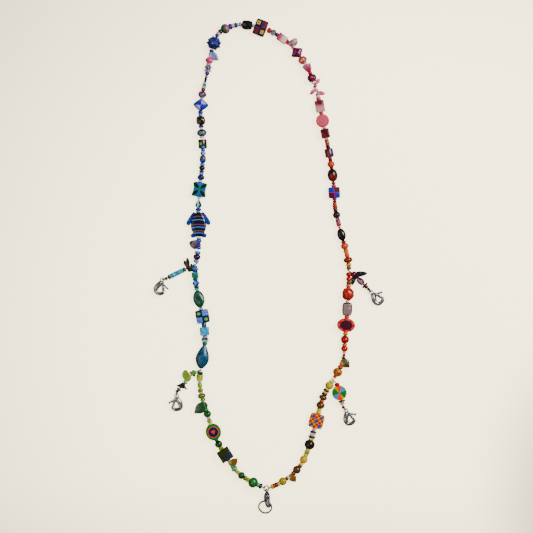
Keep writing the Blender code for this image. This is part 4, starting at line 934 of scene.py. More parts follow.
def pillow(outline, thickness, power=0.75):
    """A puffed piece: the outline shrinks towards the top and the bottom."""
    rings = []
    for angle in (-80, -60, -38, -18, 0, 18, 38, 60, 80):
        turn = math.radians(angle)
        share = math.cos(turn) ** power
        rings.append([(x * share, y * share, thickness / 2 * math.sin(turn)) for x, y in outline])
    return band(rings)


def ellipse(length, width, corners=40):
    """The outline of an ellipse."""
    turns = [2 * math.pi * index / corners for index in range(corners)]
    return [(length / 2 * math.cos(turn), width / 2 * math.sin(turn)) for turn in turns]


def mirrored(half_outline):
    """The whole outline, from its upper half."""
    return list(half_outline) + [(x, -y) for x, y in reversed(half_outline)]


def tube_shape(points, radius, sides=12, closed=False):
    """A round wire through the points."""
    rings = []
    count = len(points)
    for index, point in enumerate(points):
        before = points[index - 1] if closed or index else point
        after = points[(index + 1) % count] if closed or index + 1 < count else point
        ahead = (after - before).normalized()
        across = Vector((0, 0, 1)).cross(ahead).normalized()
        up = ahead.cross(across)
        ring = []
        for step in range(sides):
            turn = 2 * math.pi * step / sides
            ring.append(tuple(point + across * (radius * math.cos(turn)) + up * (radius * math.sin(turn))))
        rings.append(ring)
    return band(rings, closed)


def ring_shape(radius, wire, corners=40):
    """A level ring of round wire."""
    points = [Vector(point) for point in ring_level(radius, 0, corners)]
    return tube_shape(points, wire, closed=True)


def dome_shape(radius, height):
    """A small rounded stud, standing on Z = 0."""
    rings = []
    for angle in (-20, 0, 30, 60, 80):
        turn = math.radians(angle)
        rings.append(ring_level(radius * math.cos(turn), height * math.sin(turn), 10))
    return band(rings)


def pointing(shape, angle, reach):
    """The shape, whose length is X, turned to point away from the thread and moved out along that way."""
    return moved(shape, angle_matrix(angle, "Z") @ Matrix.Translation((reach, 0, 0)))


def make_seed(length, width, *more):
    return [(strung(arc_profile(length * 1.06, width * 0.56, 0.4, 8, width * 0.38), 18), True)]


def make_round(length, width, *more):
    return [(strung(arc_profile(length * 1.03, width * 0.53, 0.9, 13, width * 0.2), 26), True)]


def make_oval(length, width, *more):
    return [(strung(arc_profile(length, width / 2, 0.85, 15), 26), True)]


def make_disc(length, width, *more):
    return [(strung(arc_profile(length * 1.05, width * 0.53, 0.35, 9, width * 0.3), 24), True)]


def make_rondelle(length, width, *more):
    return [(strung(arc_profile(length, width / 2, 0.7, 9), 12, lobed_section(12, 0.05)), False)]


def make_facet(length, width, *more):
    return [(strung(arc_profile(length, width / 2, 0.9, 7), 9, twist=9.0), False)]


def make_bicone(length, width, *more):
    half = length / 2
    profile = (
        (-half, width * 0.2), (-half * 0.9, width * 0.24), (0.0, width / 2),
        (half * 0.9, width * 0.24), (half, width * 0.2),
    )
    return [(strung(profile, 8), False)]


def make_tube(length, width, *more):
    return [(strung(wall_profile(length, width / 2, 0.5), 28), True)]


def make_bugle(length, width, *more):
    return [(strung(wall_profile(length, width / 2, 0.2), 12), True)]


def make_cube(length, width, thickness=None, *more):
    section = box_section(7.0, (thickness or width) / width)
    return [(strung(wall_profile(length, width / 2, min(0.5, width * 0.12)), 32, section), True)]


def make_pillow(length, width, thickness, *more):
    section = box_section(4.0, thickness / width)
    return [(strung(arc_profile(length, width / 2, 0.22, 13, 1.4), 36, section), True)]


def make_nugget(length, width, *more):
    shape = strung(arc_profile(length, width / 2, 0.38, 7), 8, twist=3.0)
    return [(roughened(shape, 0.1, 0.35, length), False)]


def make_lumpy(length, width, *more):
    shape = strung(arc_profile(length, width / 2, 0.75, 17), 36, lobed_section(7, 0.1, 0.88), 5.0)
    return [(roughened(shape, 0.1, 0.6, width), True)]


def make_teardrop(length, width, *more):
    half = length / 2
    profile = []
    for step in range(13):
        share = step / 12
        swell = math.sin(math.pi * 0.93 * share ** 1.6)
        profile.append((-half + length * share, width / 2 * (0.2 + 0.8 * swell) + 0.05))
    return [(strung(profile, 24), True)]


def make_tulip(length, width, *more):
    """A flower bell, whose wide mouth faces back up the thread."""
    half = length / 2
    profile = (
        (-half, width * 0.5), (-half * 0.7, width * 0.49), (-half * 0.2, width * 0.42),
        (half * 0.3, width * 0.36), (half * 0.75, width * 0.26), (half, width * 0.14),
    )
    return [(strung(profile, 40, lobed_section(5, 0.2)), True)]


def make_fluted(length, width, thickness, *more):
    """A glass block with grooves down its length."""
    block = box_section(6.0, thickness / width)

    def section(turn):
        across, up = block(turn)
        groove = 1 - 0.07 * abs(math.sin(turn * 7))
        return across * groove, up * groove
    return [(strung(wall_profile(length, width / 2, 0.6), 84, section), True)]


def make_twist(length, width, thickness, *more):
    flat = thickness / width
    section = lobed_section(4, 0.16, 1.0) if flat > 0.8 else lobed_section(2, 0.12, flat)
    shape = strung(arc_profile(length, width / 2, 1.1, 23), 28, section, 14.0 if flat > 0.8 else 3.0)
    return [(shape, flat < 0.8)]


def make_puffy(length, width, thickness, *more):
    """A four-armed cross, puffed up, with a point on each arm."""
    half, side = length / 2, width / 2
    outline = []
    for turn in range(4):
        angle = math.radians(90 * turn)
        for offset, reach in ((-25, 0.9), (-12, 1.02), (0, 1.08), (12, 1.02), (25, 0.9), (45, 0.82)):
            at = angle + math.radians(offset)
            outline.append((half * reach * math.cos(at), side * reach * math.sin(at)))
    return [(pillow(softened(outline, 1), thickness, 0.6), True)]


def make_star(length, width, *more):
    """A knobbly bead with a spike in every direction."""
    shapes = [(strung(arc_profile(length * 0.92, width * 0.43, 0.8, 11), 22), True)]
    spike = moved(cone_shape(2.1, 2.3), Matrix.Translation((0, 0, 4.3)))
    for level, count in ((-52, 4), (-17, 6), (17, 6), (52, 4)):
        for index in range(count):
            turn = angle_matrix(360 * index / count + level, "X")
            shapes.append((moved(spike, turn @ angle_matrix(level, "Y")), True))
    return shapes


def cone_shape(radius, height):
    """A thorn, hollow-sided and blunt."""
    rings = []
    for share, rise in ((1.0, 0.0), (0.6, 0.45), (0.3, 0.8), (0.12, 1.0)):
        rings.append(ring_level(radius * share, height * rise, 10))
    return band(rings)


def make_leaf(length, width, reach, angle):
    """A leaf or petal that hangs from the thread by its narrow end."""
    half = ((-0.5, 0.12), (-0.42, 0.28), (-0.25, 0.43), (0.0, 0.5), (0.22, 0.38), (0.38, 0.18), (0.52, 0.02))
    outline = softened(mirrored([(x * reach, y * width) for x, y in half]), 1)
    leaf = slab(outline, 2.0, 0.7, 0.5)
    return [(pointing(leaf, angle, reach * 0.32), True)]


def make_dagger(length, width, reach, angle):
    """A slender petal that hangs from the thread by one end."""
    rings = []
    for step in range(11):
        share = step / 10
        radius = width / 2 * (0.25 + 0.75 * math.sin(math.pi * (0.08 + 0.84 * share ** 1.2)))
        rings.append(ring_across(-reach / 2 + reach * share, radius, radius * 0.7, 14))
    return [(pointing(band(rings), angle, reach * 0.42), True)]


def make_chip(length, width, reach, angle):
    """A rough chip of stone, off to one side of a core round the thread."""
    rings = []
    for step in range(7):
        at = math.radians(-72 + 24 * step)
        x, radius = reach / 2 * math.sin(at) / math.sin(math.radians(72)), math.cos(at) ** 0.7
        rings.append(ring_across(x, width / 2 * radius, 2.1 * radius, 9))
    chip = pointing(roughened(band(rings), 0.3, 0.3, reach), angle, reach * 0.34)
    core = strung(arc_profile(length * 0.9, 1.3, 0.6, 7), 16)
    return [(chip, False), (core, True)]


def make_butterfly(length, width, *more):
    """Four small wings round a core."""
    rings = []
    for x, radius in ((-0.3, 0.35), (0.9, 1.2), (2.2, 1.5), (3.3, 0.9), (3.6, 0.35)):
        rings.append(ring_across(x, radius, radius * 0.55, 7))
    shapes = [(pointing(band(rings), angle, 0.0), False) for angle in (52, 128, -52, -128)]
    shapes.append((strung(arc_profile(length * 0.95, 1.1, 0.6, 7), 10), False))
    return shapes


# The maker of each kind of bead, which takes its length, its width, and for some a third size and an angle
KINDS = {
    "seed": make_seed, "round": make_round, "oval": make_oval, "disc": make_disc, "rondelle": make_rondelle,
    "facet": make_facet, "bicone": make_bicone, "tube": make_tube, "bugle": make_bugle, "cube": make_cube,
    "pillow": make_pillow, "nugget": make_nugget, "lumpy": make_lumpy, "teardrop": make_teardrop,
    "tulip": make_tulip, "fluted": make_fluted, "twist": make_twist, "puffy": make_puffy, "star": make_star,
    "leaf": make_leaf, "dagger": make_dagger, "chip": make_chip, "butterfly": make_butterfly,
}


class Route:
    """A smooth curve through named points, measured along its length."""

    def __init__(self, stops):
        points = [Vector(stop[1:]) for stop in stops]
        guides = [points[0] * 2 - points[1]] + points + [points[-1] * 2 - points[-2]]
        self.points = [points[0]]
        self.distances = [0.0]
        self.stations = {stops[0][0]: 0.0}
        for index in range(1, len(points)):
            corner = guides[index - 1:index + 3]
            for step in range(1, SAMPLES + 1):
                point = smooth_point(*corner, step / SAMPLES)
                self.distances.append(self.distances[-1] + (point - self.points[-1]).length)
                self.points.append(point)
            self.stations[stops[index][0]] = self.distances[-1]

    def at(self, distance):
        """The point this far along."""
        index = 1
        while index < len(self.points) - 1 and self.distances[index] < distance:
            index += 1
        start, end = self.distances[index - 1], self.distances[index]
        return self.points[index - 1].lerp(self.points[index], (distance - start) / (end - start))

    def place(self, distance, half_length):
        """The frame of a bead whose middle is this far along: X down the thread, Z up."""
        first = self.at(max(distance - half_length, 0.0))
        last = self.at(min(distance + half_length, self.distances[-1]))
        ahead = (last - first).normalized()
        across = Vector((0, 0, 1)).cross(ahead).normalized()
        turn = Matrix((ahead, across, ahead.cross(across))).transposed().to_4x4()
        return Matrix.Translation((first + last) / 2) @ turn


def smooth_point(a, b, c, d, share):
    """A point between b and c on the Catmull-Rom curve through a, b, c and d."""
    curve = b * 2 + (c - a) * share
    curve += (a * 2 - b * 5 + c * 4 - d) * share ** 2
    curve += (b * 3 - a - c * 3 + d) * share ** 3
    return curve / 2


def smooth_path(points, steps=4):
    """The same path with more points, on a smooth curve."""
    guides = [points[0] * 2 - points[1]] + points + [points[-1] * 2 - points[-2]]
    path = [points[0]]
    for index in range(1, len(points)):
        path += [smooth_point(*guides[index - 1:index + 3], step / steps) for step in range(1, steps + 1)]
    return path


class Piece:
    """One object under construction, from shapes that each have a place and a look."""

    def __init__(self, name):
        self.name = name
        self.points = []
        self.own = []
        self.faces = []
        self.slots = []
        self.smooth = []
        self.looks = []

    def add(self, shape, place, look, smooth=True):
        """Put a shape, in its own frame, at a place and in a look."""
        points, faces = shape
        base = len(self.points)
        if look not in self.looks:
            self.looks.append(look)
        self.own += points
        self.points += [place @ Vector(point) for point in points]
        self.faces += [tuple(base + corner for corner in face) for face in faces]
        self.slots += [self.looks.index(look)] * len(faces)
        self.smooth += [smooth and len(face) < 5 for face in faces]

    def finish(self, body, *nodes):
        """Make the object, which rests on the ground where it would have dipped below it."""
        mesh = bpy.data.meshes.new(self.name)
        for point in self.points:
            point.z = max(point.z, LEAST_HEIGHT)
        mesh.from_pydata([(point - MIDDLE) * METRES for point in self.points], [], self.faces)
        mesh.polygons.foreach_set("material_index", self.slots)
        mesh.polygons.foreach_set("use_smooth", self.smooth)
        own = mesh.attributes.new("bead", "FLOAT_VECTOR", "POINT")
        own.data.foreach_set("vector", [value for point in self.own for value in point])
        shape = bmesh.new()
        shape.from_mesh(mesh)
        bmesh.ops.recalc_face_normals(shape, faces=shape.faces)
        shape.to_mesh(mesh)
        shape.free()
        for look in self.looks:
            mesh.materials.append(look_material(look))
        mesh.set_sharp_from_angle(angle=math.radians(42))
        made = bpy.data.objects.new(self.name, mesh)
        bpy.context.scene.collection.objects.link(made)
        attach(made, body)
        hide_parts(*nodes)
        return made


def add_bead(piece, kind, length, width, look, more, place):
    """A strung bead, a little plumper than its outline against bright paper."""
    for shape, smooth in KINDS[kind](length, width * GROWTH + PLUMPNESS, *more):
        piece.add(shape, place, look, smooth)


# Upper halves of outlines (x, y)
CROSS_HALF = (
    (-6.1, 2.2), (-5.3, 5.4), (-4.9, 5.9), (-1.9, 5.0), (1.9, 5.0), (4.9, 5.9), (5.7, 5.6), (6.1, 2.2),
)
FISH_HALF = (
    (-10.3, 1.2), (-9.7, 2.8), (-8.4, 4.0), (-5.0, 5.5), (-1.5, 6.1), (1.2, 6.3), (3.6, 5.9), (5.6, 4.9),
    (7.0, 4.4), (8.8, 4.0), (9.6, 2.4), (9.4, 0.9),
)
DIAMOND_HALF = (
    (-4.9, 1.0), (-2.6, 4.0), (-0.7, 6.0), (0.7, 6.0), (2.6, 4.0), (4.9, 1.0),
)
TURNED = {"clay_square_tile": -6.0, "blue_cross_tile": -3.0}  # beads that sit askew on the thread


def square_outline(length, width, cut):
    """A rectangle with its corners cut."""
    half, side = length / 2, width / 2
    corners = [
        (half, -side + cut), (half, side - cut), (half - cut, side), (-half + cut, side),
        (-half, side - cut), (-half, -side + cut), (-half + cut, -side), (half - cut, -side),
    ]
    return softened(corners, 1)


# The slab of a flat bead: its outline, thickness, rounding of the edges, and rise towards the middle
SLABS = {
    "clay_square_tile": (square_outline(10.0, 12.9, 0.7), FLAT_THICKNESS, 0.5, 0.0),
    "blue_cross_tile": (softened(mirrored(CROSS_HALF), 2), FLAT_THICKNESS, 0.6, 0.2),
    "blue_quarter_tile": (square_outline(11.0, 10.8, 0.9), FLAT_THICKNESS, 0.6, 0.0),
    "checker_tile": (square_outline(9.1, 9.4, 0.7), FLAT_THICKNESS, 0.5, 0.0),
    "millefiori_square": (square_outline(12.0, 11.9, 1.5), 4.8, 0.7, 0.0),
    "target_disc": (ellipse(13.6, 12.4), FLAT_THICKNESS, 0.6, 0.1),
    "swirl_coin": (ellipse(10.8, 10.8), FLAT_THICKNESS, 0.8, 0.0),
    "clay_oval_disc": (ellipse(11.4, 14.7), FLAT_THICKNESS, 0.8, 0.15),
}


def flat_shapes(name):
    """The shapes of a large flat bead, each with its look."""
    if name in SLABS:
        return [(slab(*SLABS[name]), name)]
    if name == "blue_puffy_diamond":
        return [(pillow(softened(mirrored(DIAMOND_HALF), 1), 5.8, 0.55), name)]
    if name == "teal_oval":
        return [(teal_oval_shape(), "teal_flutes")]
    return fish_shapes()


def teal_oval_shape():
    """A flattened drop with fine flutes that turn a little round it."""
    profile = []
    for step in range(25):
        share = step / 24
        profile.append((19.4 * (share - 0.5), 1.1 + 4.3 * math.sin(math.pi * share ** 1.3) ** 0.75))
    return strung(profile, 60, lobed_section(18, 0.07, 0.56), 1.5)


def fish_shapes():
    """The body, with a long fin along each side of it."""
    shapes = [(slab(softened(mirrored(FISH_HALF), 1), 5.2, 1.4, 0.1), "striped_fish")]
    for side in (1, -1):
        points = []
        for x, y in ((-9.4, 2.3), (-8.2, 3.8), (-6.6, 5.0), (-4.8, 6.2), (-2.8, 7.4), (-1.2, 8.2)):
            points.append(Vector((x, y * side, 0.0)))
        shapes.append((tube_shape(smooth_path(points), 1.8, 16), "fin_blue"))
        lobe = strung(arc_profile(5.0, 1.9, 0.8, 11), 20)
        aim = Matrix.Translation((8.2, 4.0 * side, 0)) @ angle_matrix(72 * side, "Z")
        shapes.append((moved(lobe, aim), "fin_blue"))
        rings = []
        for x, radius in ((-0.2, 1.8), (0.5, 1.6), (1.0, 1.1), (1.3, 0.35)):
            rings.append(ring_across(x, radius, radius, 16))
        aim = Matrix.Translation(points[-1]) @ angle_matrix(28 * side, "Z")
        shapes.append((moved(band(rings), aim), "fin_blue"))
    return shapes


def add_flat_bead(route, name, half_length, body):
    """One large bead, level, at the height of the CAD part that it stands for."""
    piece = Piece("shown_" + name)
    station = route.stations[name]
    first, last = route.at(station - half_length), route.at(station + half_length)
    heading = math.atan2(last.y - first.y, last.x - first.x)
    low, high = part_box(name)
    middle = (first + last) / 2
    middle.z = (low[2] + high[2]) / 2 / METRES
    heading += math.radians(TURNED.get(name, 0.0))
    place = Matrix.Translation(middle) @ Matrix.Rotation(heading, 4, "Z")
    place = place @ Matrix.Diagonal((FLAT_GROWTH, FLAT_GROWTH, 1.0, 1.0))
    for shape, look in flat_shapes(name):
        piece.add(shape, place, look)
    piece.finish(body, name)


def add_run(route, name, beads, start, end, body):
    """A run of small beads, stretched a little so that it fills its length of thread."""
    piece = Piece("shown_" + name)
    stretch = (end - start) / sum(bead[1] for bead in beads)
    reached = start
    for kind, length, width, look, *more in beads:
        fitted = length * stretch
        if kind != "bare":
            place = route.place(reached + fitted / 2, fitted * 0.5)
            add_bead(piece, kind, fitted, width, look, more, place)
        reached += fitted
    piece.finish(body, name)


def string_half(route, strand, body_of):
    """Every flat bead and every run down one half of the loop."""
    for index, (name, what) in enumerate(strand):
        if isinstance(what, tuple):
            before, room_before = strand[index - 1]
            after, room_after = strand[index + 1]
            start = route.stations[before] + room_before + GAP
            end = route.stations[after] - room_after - GAP
            add_run(route, name, what, start, end, body_of((start + end) / 2))
        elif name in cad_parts:
            add_flat_bead(route, name, what, body_of(route.stations[name]))


def thread_material():
    """The thread's own pale pink."""
    paint = Paint("thread", "#c9a3ab")
    pattern_cloud(paint, ("#c9a3ab", "#e8d3d5"))
    return paint.finish("glass")


def add_thread(name, route, start, end, body, material):
    """A stretch of the beading thread, from one pivot to the next."""
    count = min(MOST_CORD_POINTS, round((end - start) / CORD_STEP) + 1)
    curve = bpy.data.curves.new("shown_" + name, "CURVE")
    curve.dimensions = "3D"
    curve.bevel_depth = THREAD_RADIUS * METRES
    curve.bevel_resolution = 4
    curve.use_fill_caps = True
    spline = curve.splines.new("POLY")
    spline.points.add(count - 1)
    for index in range(count):
        point = (route.at(start + (end - start) * index / (count - 1)) - MIDDLE) * METRES
        spline.points[index].co = (point.x, point.y, point.z, 1.0)
    curve.materials.append(material)
    made = bpy.data.objects.new("shown_" + name, curve)
    bpy.context.scene.collection.objects.link(made)
    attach(made, body)
    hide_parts(name)
    exit_point = (route.at(start) - MIDDLE) * METRES
    (end - start) * METRES


def add_threads(left, right):
    material = thread_material()
    left_middle, right_middle = left.stations["left_pivot"], right.stations["right_pivot"]
    left_end = left.distances[-1] - THREAD_END_ROOM
    right_end = right.distances[-1] - THREAD_END_ROOM
    add_thread("upper_left_thread", left, 0.0, left_middle, "upper_left_arm", material)
    add_thread("lower_left_thread", left, left_middle, left_end, "lower_left_arm", material)
    add_thread("upper_right_thread", right, 0.0, right_middle, "upper_right_arm", material)
    add_thread("lower_right_thread", right, right_middle, right_end, "lower_right_arm", material)


# Down the middle of a clasp's hook (x, y, radius), round its cheeks (x, y), and up its knob (height, radius)
HOOK = (
    (0.9, 0.0, 0.9), (2.4, -0.6, 1.6), (4.1, -1.4, 1.9), (5.7, -2.3, 1.85), (7.4, -2.8, 1.65),
    (9.1, -2.6, 1.45), (10.2, -1.7, 1.35), (10.6, -0.2, 1.3), (10.4, 1.4, 1.3), (9.7, 2.4, 1.25),
    (8.9, 2.9, 1.2), (8.3, 3.0, 1.0),
)
CHEEK = (
    (0.9, -0.7), (2.4, -1.6), (4.3, -2.3), (5.2, -1.2), (5.0, 1.6), (4.2, 2.6), (3.0, 2.5), (1.9, 1.7),
    (0.9, 0.7),
)
KNOB = ((-0.85, 0.3), (-0.65, 0.62), (-0.3, 0.85), (0.0, 0.9), (0.3, 0.85), (0.65, 0.62), (0.85, 0.3))


def hook_shape():
    """The cast hook, thick along its back and finer towards its tip."""
    stops = [Vector((x, y, 0)) for x, y, _ in HOOK]
    stops = [stops[0] * 2 - stops[1]] + stops + [stops[-1] * 2 - stops[-2]]
    rings = []
    for index in range(1, len(stops) - 2):
        for step in range(4):
            share = step / 4
            point = smooth_point(*stops[index - 1:index + 3], share)
            ahead = (smooth_point(*stops[index - 1:index + 3], share + 0.01) - point).normalized()
            across = Vector((0, 0, 1)).cross(ahead)
            radius = HOOK[index - 1][2] * (1 - share) + HOOK[index][2] * share
            ring = []
            for side in range(16):
                turn = 2 * math.pi * side / 16
                rise = Vector((0, 0, 0.95 * radius * math.sin(turn)))
                ring.append(tuple(point + across * (radius * math.cos(turn)) + rise))
            rings.append(ring)
    return band(rings)


def clasp_body_shapes():
    """The hook: two cheeks that hold the lever, a core between them, a tail eye and a rivet."""
    shapes = [hook_shape()]
    for side in (0, 180):
        face = angle_matrix(side, "X")
        cheek = [(x, y if side == 0 else -y) for x, y in softened(CHEEK, 2)]
        shapes.append(moved(slab(cheek, 0.5, 0.24), face @ Matrix.Translation((0, 0, 0.85))))
        rivet = face @ Matrix.Translation((LEVER_PIVOT[0], LEVER_PIVOT[1] * (1 if side == 0 else -1), 1.15))
        shapes.append(moved(dome_shape(0.7, 0.35), rivet))
    shapes.append(moved(ring_shape(1.3, 0.42), Matrix.Scale(1.3, 4, (0, 0, 1))))
    return shapes


def clasp_lever_shapes():
    """An eye on the rivet, a gate, and a thumb tab that ends in a round knob."""
    x, y = LEVER_PIVOT
    eye = [(x + px, y + py) for px, py in ellipse(2.4, 2.4, 24)]
    gate = softened([(x + 0.4, y - 0.7), (8.6, 1.7), (9.0, 3.9), (x + 0.3, y + 1.3)], 1)
    tab = softened([(x - 0.8, y + 0.5), (x + 0.8, y + 0.6), (5.9, 4.5), (4.7, 5.4)], 1)
    shapes = [slab(eye, 0.94, 0.15), slab(gate, 1.8, 0.6), slab(tab, 1.4, 0.5)]
    knob = band([ring_level(radius, height, 16) for height, radius in KNOB])
    shapes.append(moved(knob, Matrix.Translation((5.4, 5.1, 0))))
    return shapes


def add_clasp(side, place, look):
    """A clasp's hook, and its lever as a piece of its own."""
    body = Piece("shown_" + side + "_clasp_body")
    for shape in clasp_body_shapes():
        body.add(shape, place, look)
    body.finish(side + "_clasp", side + "_clasp_body")
    lever = Piece("shown_" + side + "_clasp_lever")
    for shape in clasp_lever_shapes():
        lever.add(shape, place, look)
    lever.finish(side + "_lever", side + "_clasp_lever")


class Drop:
    """A side drop: its loop round the thread, its straight wire, its ring and its clasp."""

    def __init__(self, side, route, wire_start, wire_end, ring_heading, clasp_heading, roll):
        self.side = side
        loop = route.at(route.stations[side + "_loop"])
        self.loop = Vector((loop.x, loop.y, HARDWARE_HEIGHT))
        self.start = Vector((*wire_start, HARDWARE_HEIGHT))
        self.end = Vector((*wire_end, HARDWARE_HEIGHT))
        self.heading = math.degrees(math.atan2(wire_end[1] - wire_start[1], wire_end[0] - wire_start[0]))
        self.ring_heading = ring_heading
        along = way(ring_heading)
        self.ring_centre = self.end + along * DROP_RING
        self.tail = self.end + along * (2 * DROP_RING)
        turned = angle_matrix(clasp_heading, "Z") @ angle_matrix(roll, "X")
        self.clasp = Matrix.Translation(self.tail) @ turned @ Matrix.Diagonal((*CLASP_SCALE, 1.0))

    def along_wire(self, distance):
        """The frame of a bead this far down the straight wire."""
        middle = self.start + (self.end - self.start).normalized() * distance
        return Matrix.Translation(middle) @ angle_matrix(self.heading, "Z")

    def add_wire(self):
        """The loop round the thread, the bent wire, and the loop at its end with its wrapped neck."""
        piece = Piece("shown_" + self.side + "_drop_wire")
        lead = (self.start - self.loop).normalized()
        lead_heading = math.degrees(math.atan2(lead.y, lead.x))
        upright = Matrix.Translation(self.loop) @ angle_matrix(lead_heading, "Z") @ angle_matrix(90, "X")
        piece.add(ring_shape(THREAD_LOOP, THREAD_LOOP_WIRE), upright, "gunmetal")
        along = (self.end - self.start).normalized()
        points = [self.loop + lead * THREAD_LOOP, self.start, self.end - along * END_LOOP]
        piece.add(tube_shape(points, WIRE_RADIUS), Matrix(), "gunmetal")
        piece.add(ring_shape(END_LOOP, WIRE_RADIUS), Matrix.Translation(self.end), "gunmetal")
        neck = Matrix.Translation(self.end - along * (END_LOOP + 0.3))
        neck = neck @ angle_matrix(self.heading, "Z") @ angle_matrix(90, "Y")
        for turn in range(2):
            piece.add(ring_shape(0.42, 0.16, 16), neck @ Matrix.Translation((0, 0, -0.3 * turn)), "gunmetal")
        piece.finish(self.side + "_drop", self.side + "_drop_wire")

    def add_ring(self, look):
        piece = Piece("shown_" + self.side + "_jump_ring")
        turned = angle_matrix(self.ring_heading, "Z") @ angle_matrix(90, "X")
        upright = Matrix.Translation(self.ring_centre) @ turned
        piece.add(ring_shape(DROP_RING, RING_WIRE), upright, look)
        piece.finish(self.side + "_drop", self.side + "_jump_ring")

    def add_beads(self, node, parts):
        """The beads of one CAD node: distance down the wire, kind, two sizes or an outline, look."""
        piece = Piece("shown_" + node)
        for distance, kind, length, width, look, *more in parts:
            place = self.along_wire(distance)
            if kind == "outline":
                piece.add(slab(softened(length, 2), width, 0.5, 0.2), place, look)
                for x, y in more:
                    dot = place @ Matrix.Translation((x, y, width / 2 + 0.15))
                    piece.add(dome_shape(0.4, 0.3), dot, "steel")
            elif kind == "wings":
                for wing in length:
                    piece.add(wing_shape(*wing, width), place, look)
            elif kind == "coin":
                piece.add(slab(ellipse(length, length), width, 0.6, 0.1), place, look)
            else:
                add_bead(piece, kind, length, width, look, more, place)
        piece.finish(self.side + "_drop", node)


# The dragonfly's wings (x, y, to x, y, breadth), and the outlines of the other figures
DRAGONFLY = (
    (-0.3, 0.4, -3.3, -8.2, 3.5), (0.3, 0.4, 0.4, -7.2, 3.1), (-0.6, -0.4, -2.1, 4.4, 3.4),
    (0.2, -0.4, -0.2, 4.2, 3.0),
)
ANGEL = (
    (-2.4, -1.6), (-0.6, -4.6), (1.2, -6.6), (3.6, -8.2), (3.8, -5.6), (3.1, -3.2), (2.3, -1.2), (2.4, 0.4),
    (3.3, 2.8), (4.8, 5.2), (6.4, 9.4), (3.2, 8.5), (1.0, 6.9), (-1.0, 5.0), (-2.2, 2.8), (-2.8, 0.4),
)
PETAL = (
    (-2.6, 0.9), (-3.9, -1.8), (-4.6, -5.4), (-3.8, -7.4), (-1.2, -7.6), (1.6, -6.2), (3.1, -3.2),
    (3.0, 0.4), (1.8, 2.0), (-1.0, 2.1),
)
BIRD = (
    (-3.0, -1.5), (-1.4, -2.2), (1.0, -3.0), (3.2, -4.2), (2.6, -1.6), (2.0, 1.5), (0.6, 2.2), (-0.2, 5.6),
    (-1.0, 5.2), (-1.6, 2.0), (-2.8, 1.5),
)


def add_drops(left, right):
    upper_left = Drop("upper_left", left, (-64.0, 2.9), (-86.8, -8.3), 196.0, 256.0, 0.0)
    lower_left = Drop("lower_left", left, (-62.4, -87.1), (-77.4, -104.0), 262.0, 271.0, 180.0)
    upper_right = Drop("upper_right", right, (71.6, -4.0), (85.0, -17.3), -50.0, -46.0, 0.0)
    lower_right = Drop("lower_right", right, (58.0, -97.5), (63.6, -117.4), -52.0, -68.0, 0.0)
    upper_left.add_beads("dragonfly_wings", (
        (1.0, "seed", 2.0, 3.0, "dark_teal"),
        (4.7, "wings", DRAGONFLY, 2.2, "black_metal"),
        (4.3, "oval", 4.4, 2.9, "black_metal"),
    ))
    upper_left.add_beads("dragonfly_tail", (
        (8.0, "seed", 2.0, 3.0, "dark_teal"), (15.15, "tube", 12.0, 3.4, "turquoise_satin"),
        (22.4, "seed", 2.1, 3.0, "dark_teal"),
    ))
    upper_right.add_beads("angel_wings", (
        (0.9, "round", 4.0, 4.2, "wine"),
        (3.2, "outline", ANGEL, 2.6, "black_metal", (1.0, -3.6), (0.6, 1.8), (1.2, 4.2)),
    ))
    upper_right.add_beads("angel_body", (
        (9.4, "facet", 7.6, 4.7, "wine_pearl"), (14.45, "rondelle", 2.3, 5.2, "wine"),
        (16.5, "seed", 1.5, 2.6, "black"),
    ))
    lower_right.add_beads("pinwheel_coin", (
        (0.9, "round", 3.2, 3.6, "red"), (8.1, "coin", 12.6, 3.4, "pinwheel_coin"),
        (15.4, "disc", 1.7, 5.0, "bronze"), (17.5, "seed", 2.2, 2.9, "clear_pink"),
    ))
    lower_left.add_beads("lime_petal", (
        (0.7, "seed", 2.2, 3.4, "light_green"), (2.9, "disc", 2.2, 4.8, "olive"),
        (8.2, "outline", PETAL, 2.4, "petal_green"), (12.2, "seed", 1.9, 3.0, "light_green"),
    ))
    lower_left.add_beads("black_bird", (
        (16.3, "outline", BIRD, 2.8, "black_metal"), (20.4, "seed", 1.7, 3.0, "dark_green"),
    ))
    for drop in (upper_left, lower_left, upper_right, lower_right):
        drop.add_wire()
        drop.add_ring("gunmetal")
        add_clasp(drop.side, drop.clasp, "steel")


def wing_shape(x0, y0, x1, y1, breadth, thickness):
    """A long narrow leaf of metal from one point to another."""
    reach = math.hypot(x1 - x0, y1 - y0)
    half = ((0.0, 0.2), (0.25, 0.36), (0.6, 0.5), (0.85, 0.34), (1.0, 0.06))
    outline = softened(mirrored([(x * reach, y * breadth) for x, y in half]), 1)
    turn = math.degrees(math.atan2(y1 - y0, x1 - x0))
    place = Matrix.Translation((x0, y0, 0)) @ angle_matrix(turn, "Z")
    return moved(slab(outline, thickness, 0.5, 0.15), place)


def add_end_loop(name, centre, ring_centre, body):
    """A strand's last loop of wire, with its crimp."""
    toward = ring_centre - centre
    heading = math.degrees(math.atan2(toward.y, toward.x))
    piece = Piece("shown_" + name)
    turn = Matrix.Translation(centre) @ angle_matrix(heading, "Z")
    piece.add(ring_shape(CRIMP_LOOP, END_LOOP_WIRE, 28), turn @ angle_matrix(90, "X"), "gunmetal")
    crimp = strung(arc_profile(1.1, 0.62, 0.3, 7, 0.5), 14)
    piece.add(crimp, turn @ Matrix.Translation((-1.35, 0, 0)), "gunmetal")
    piece.finish(body, name)


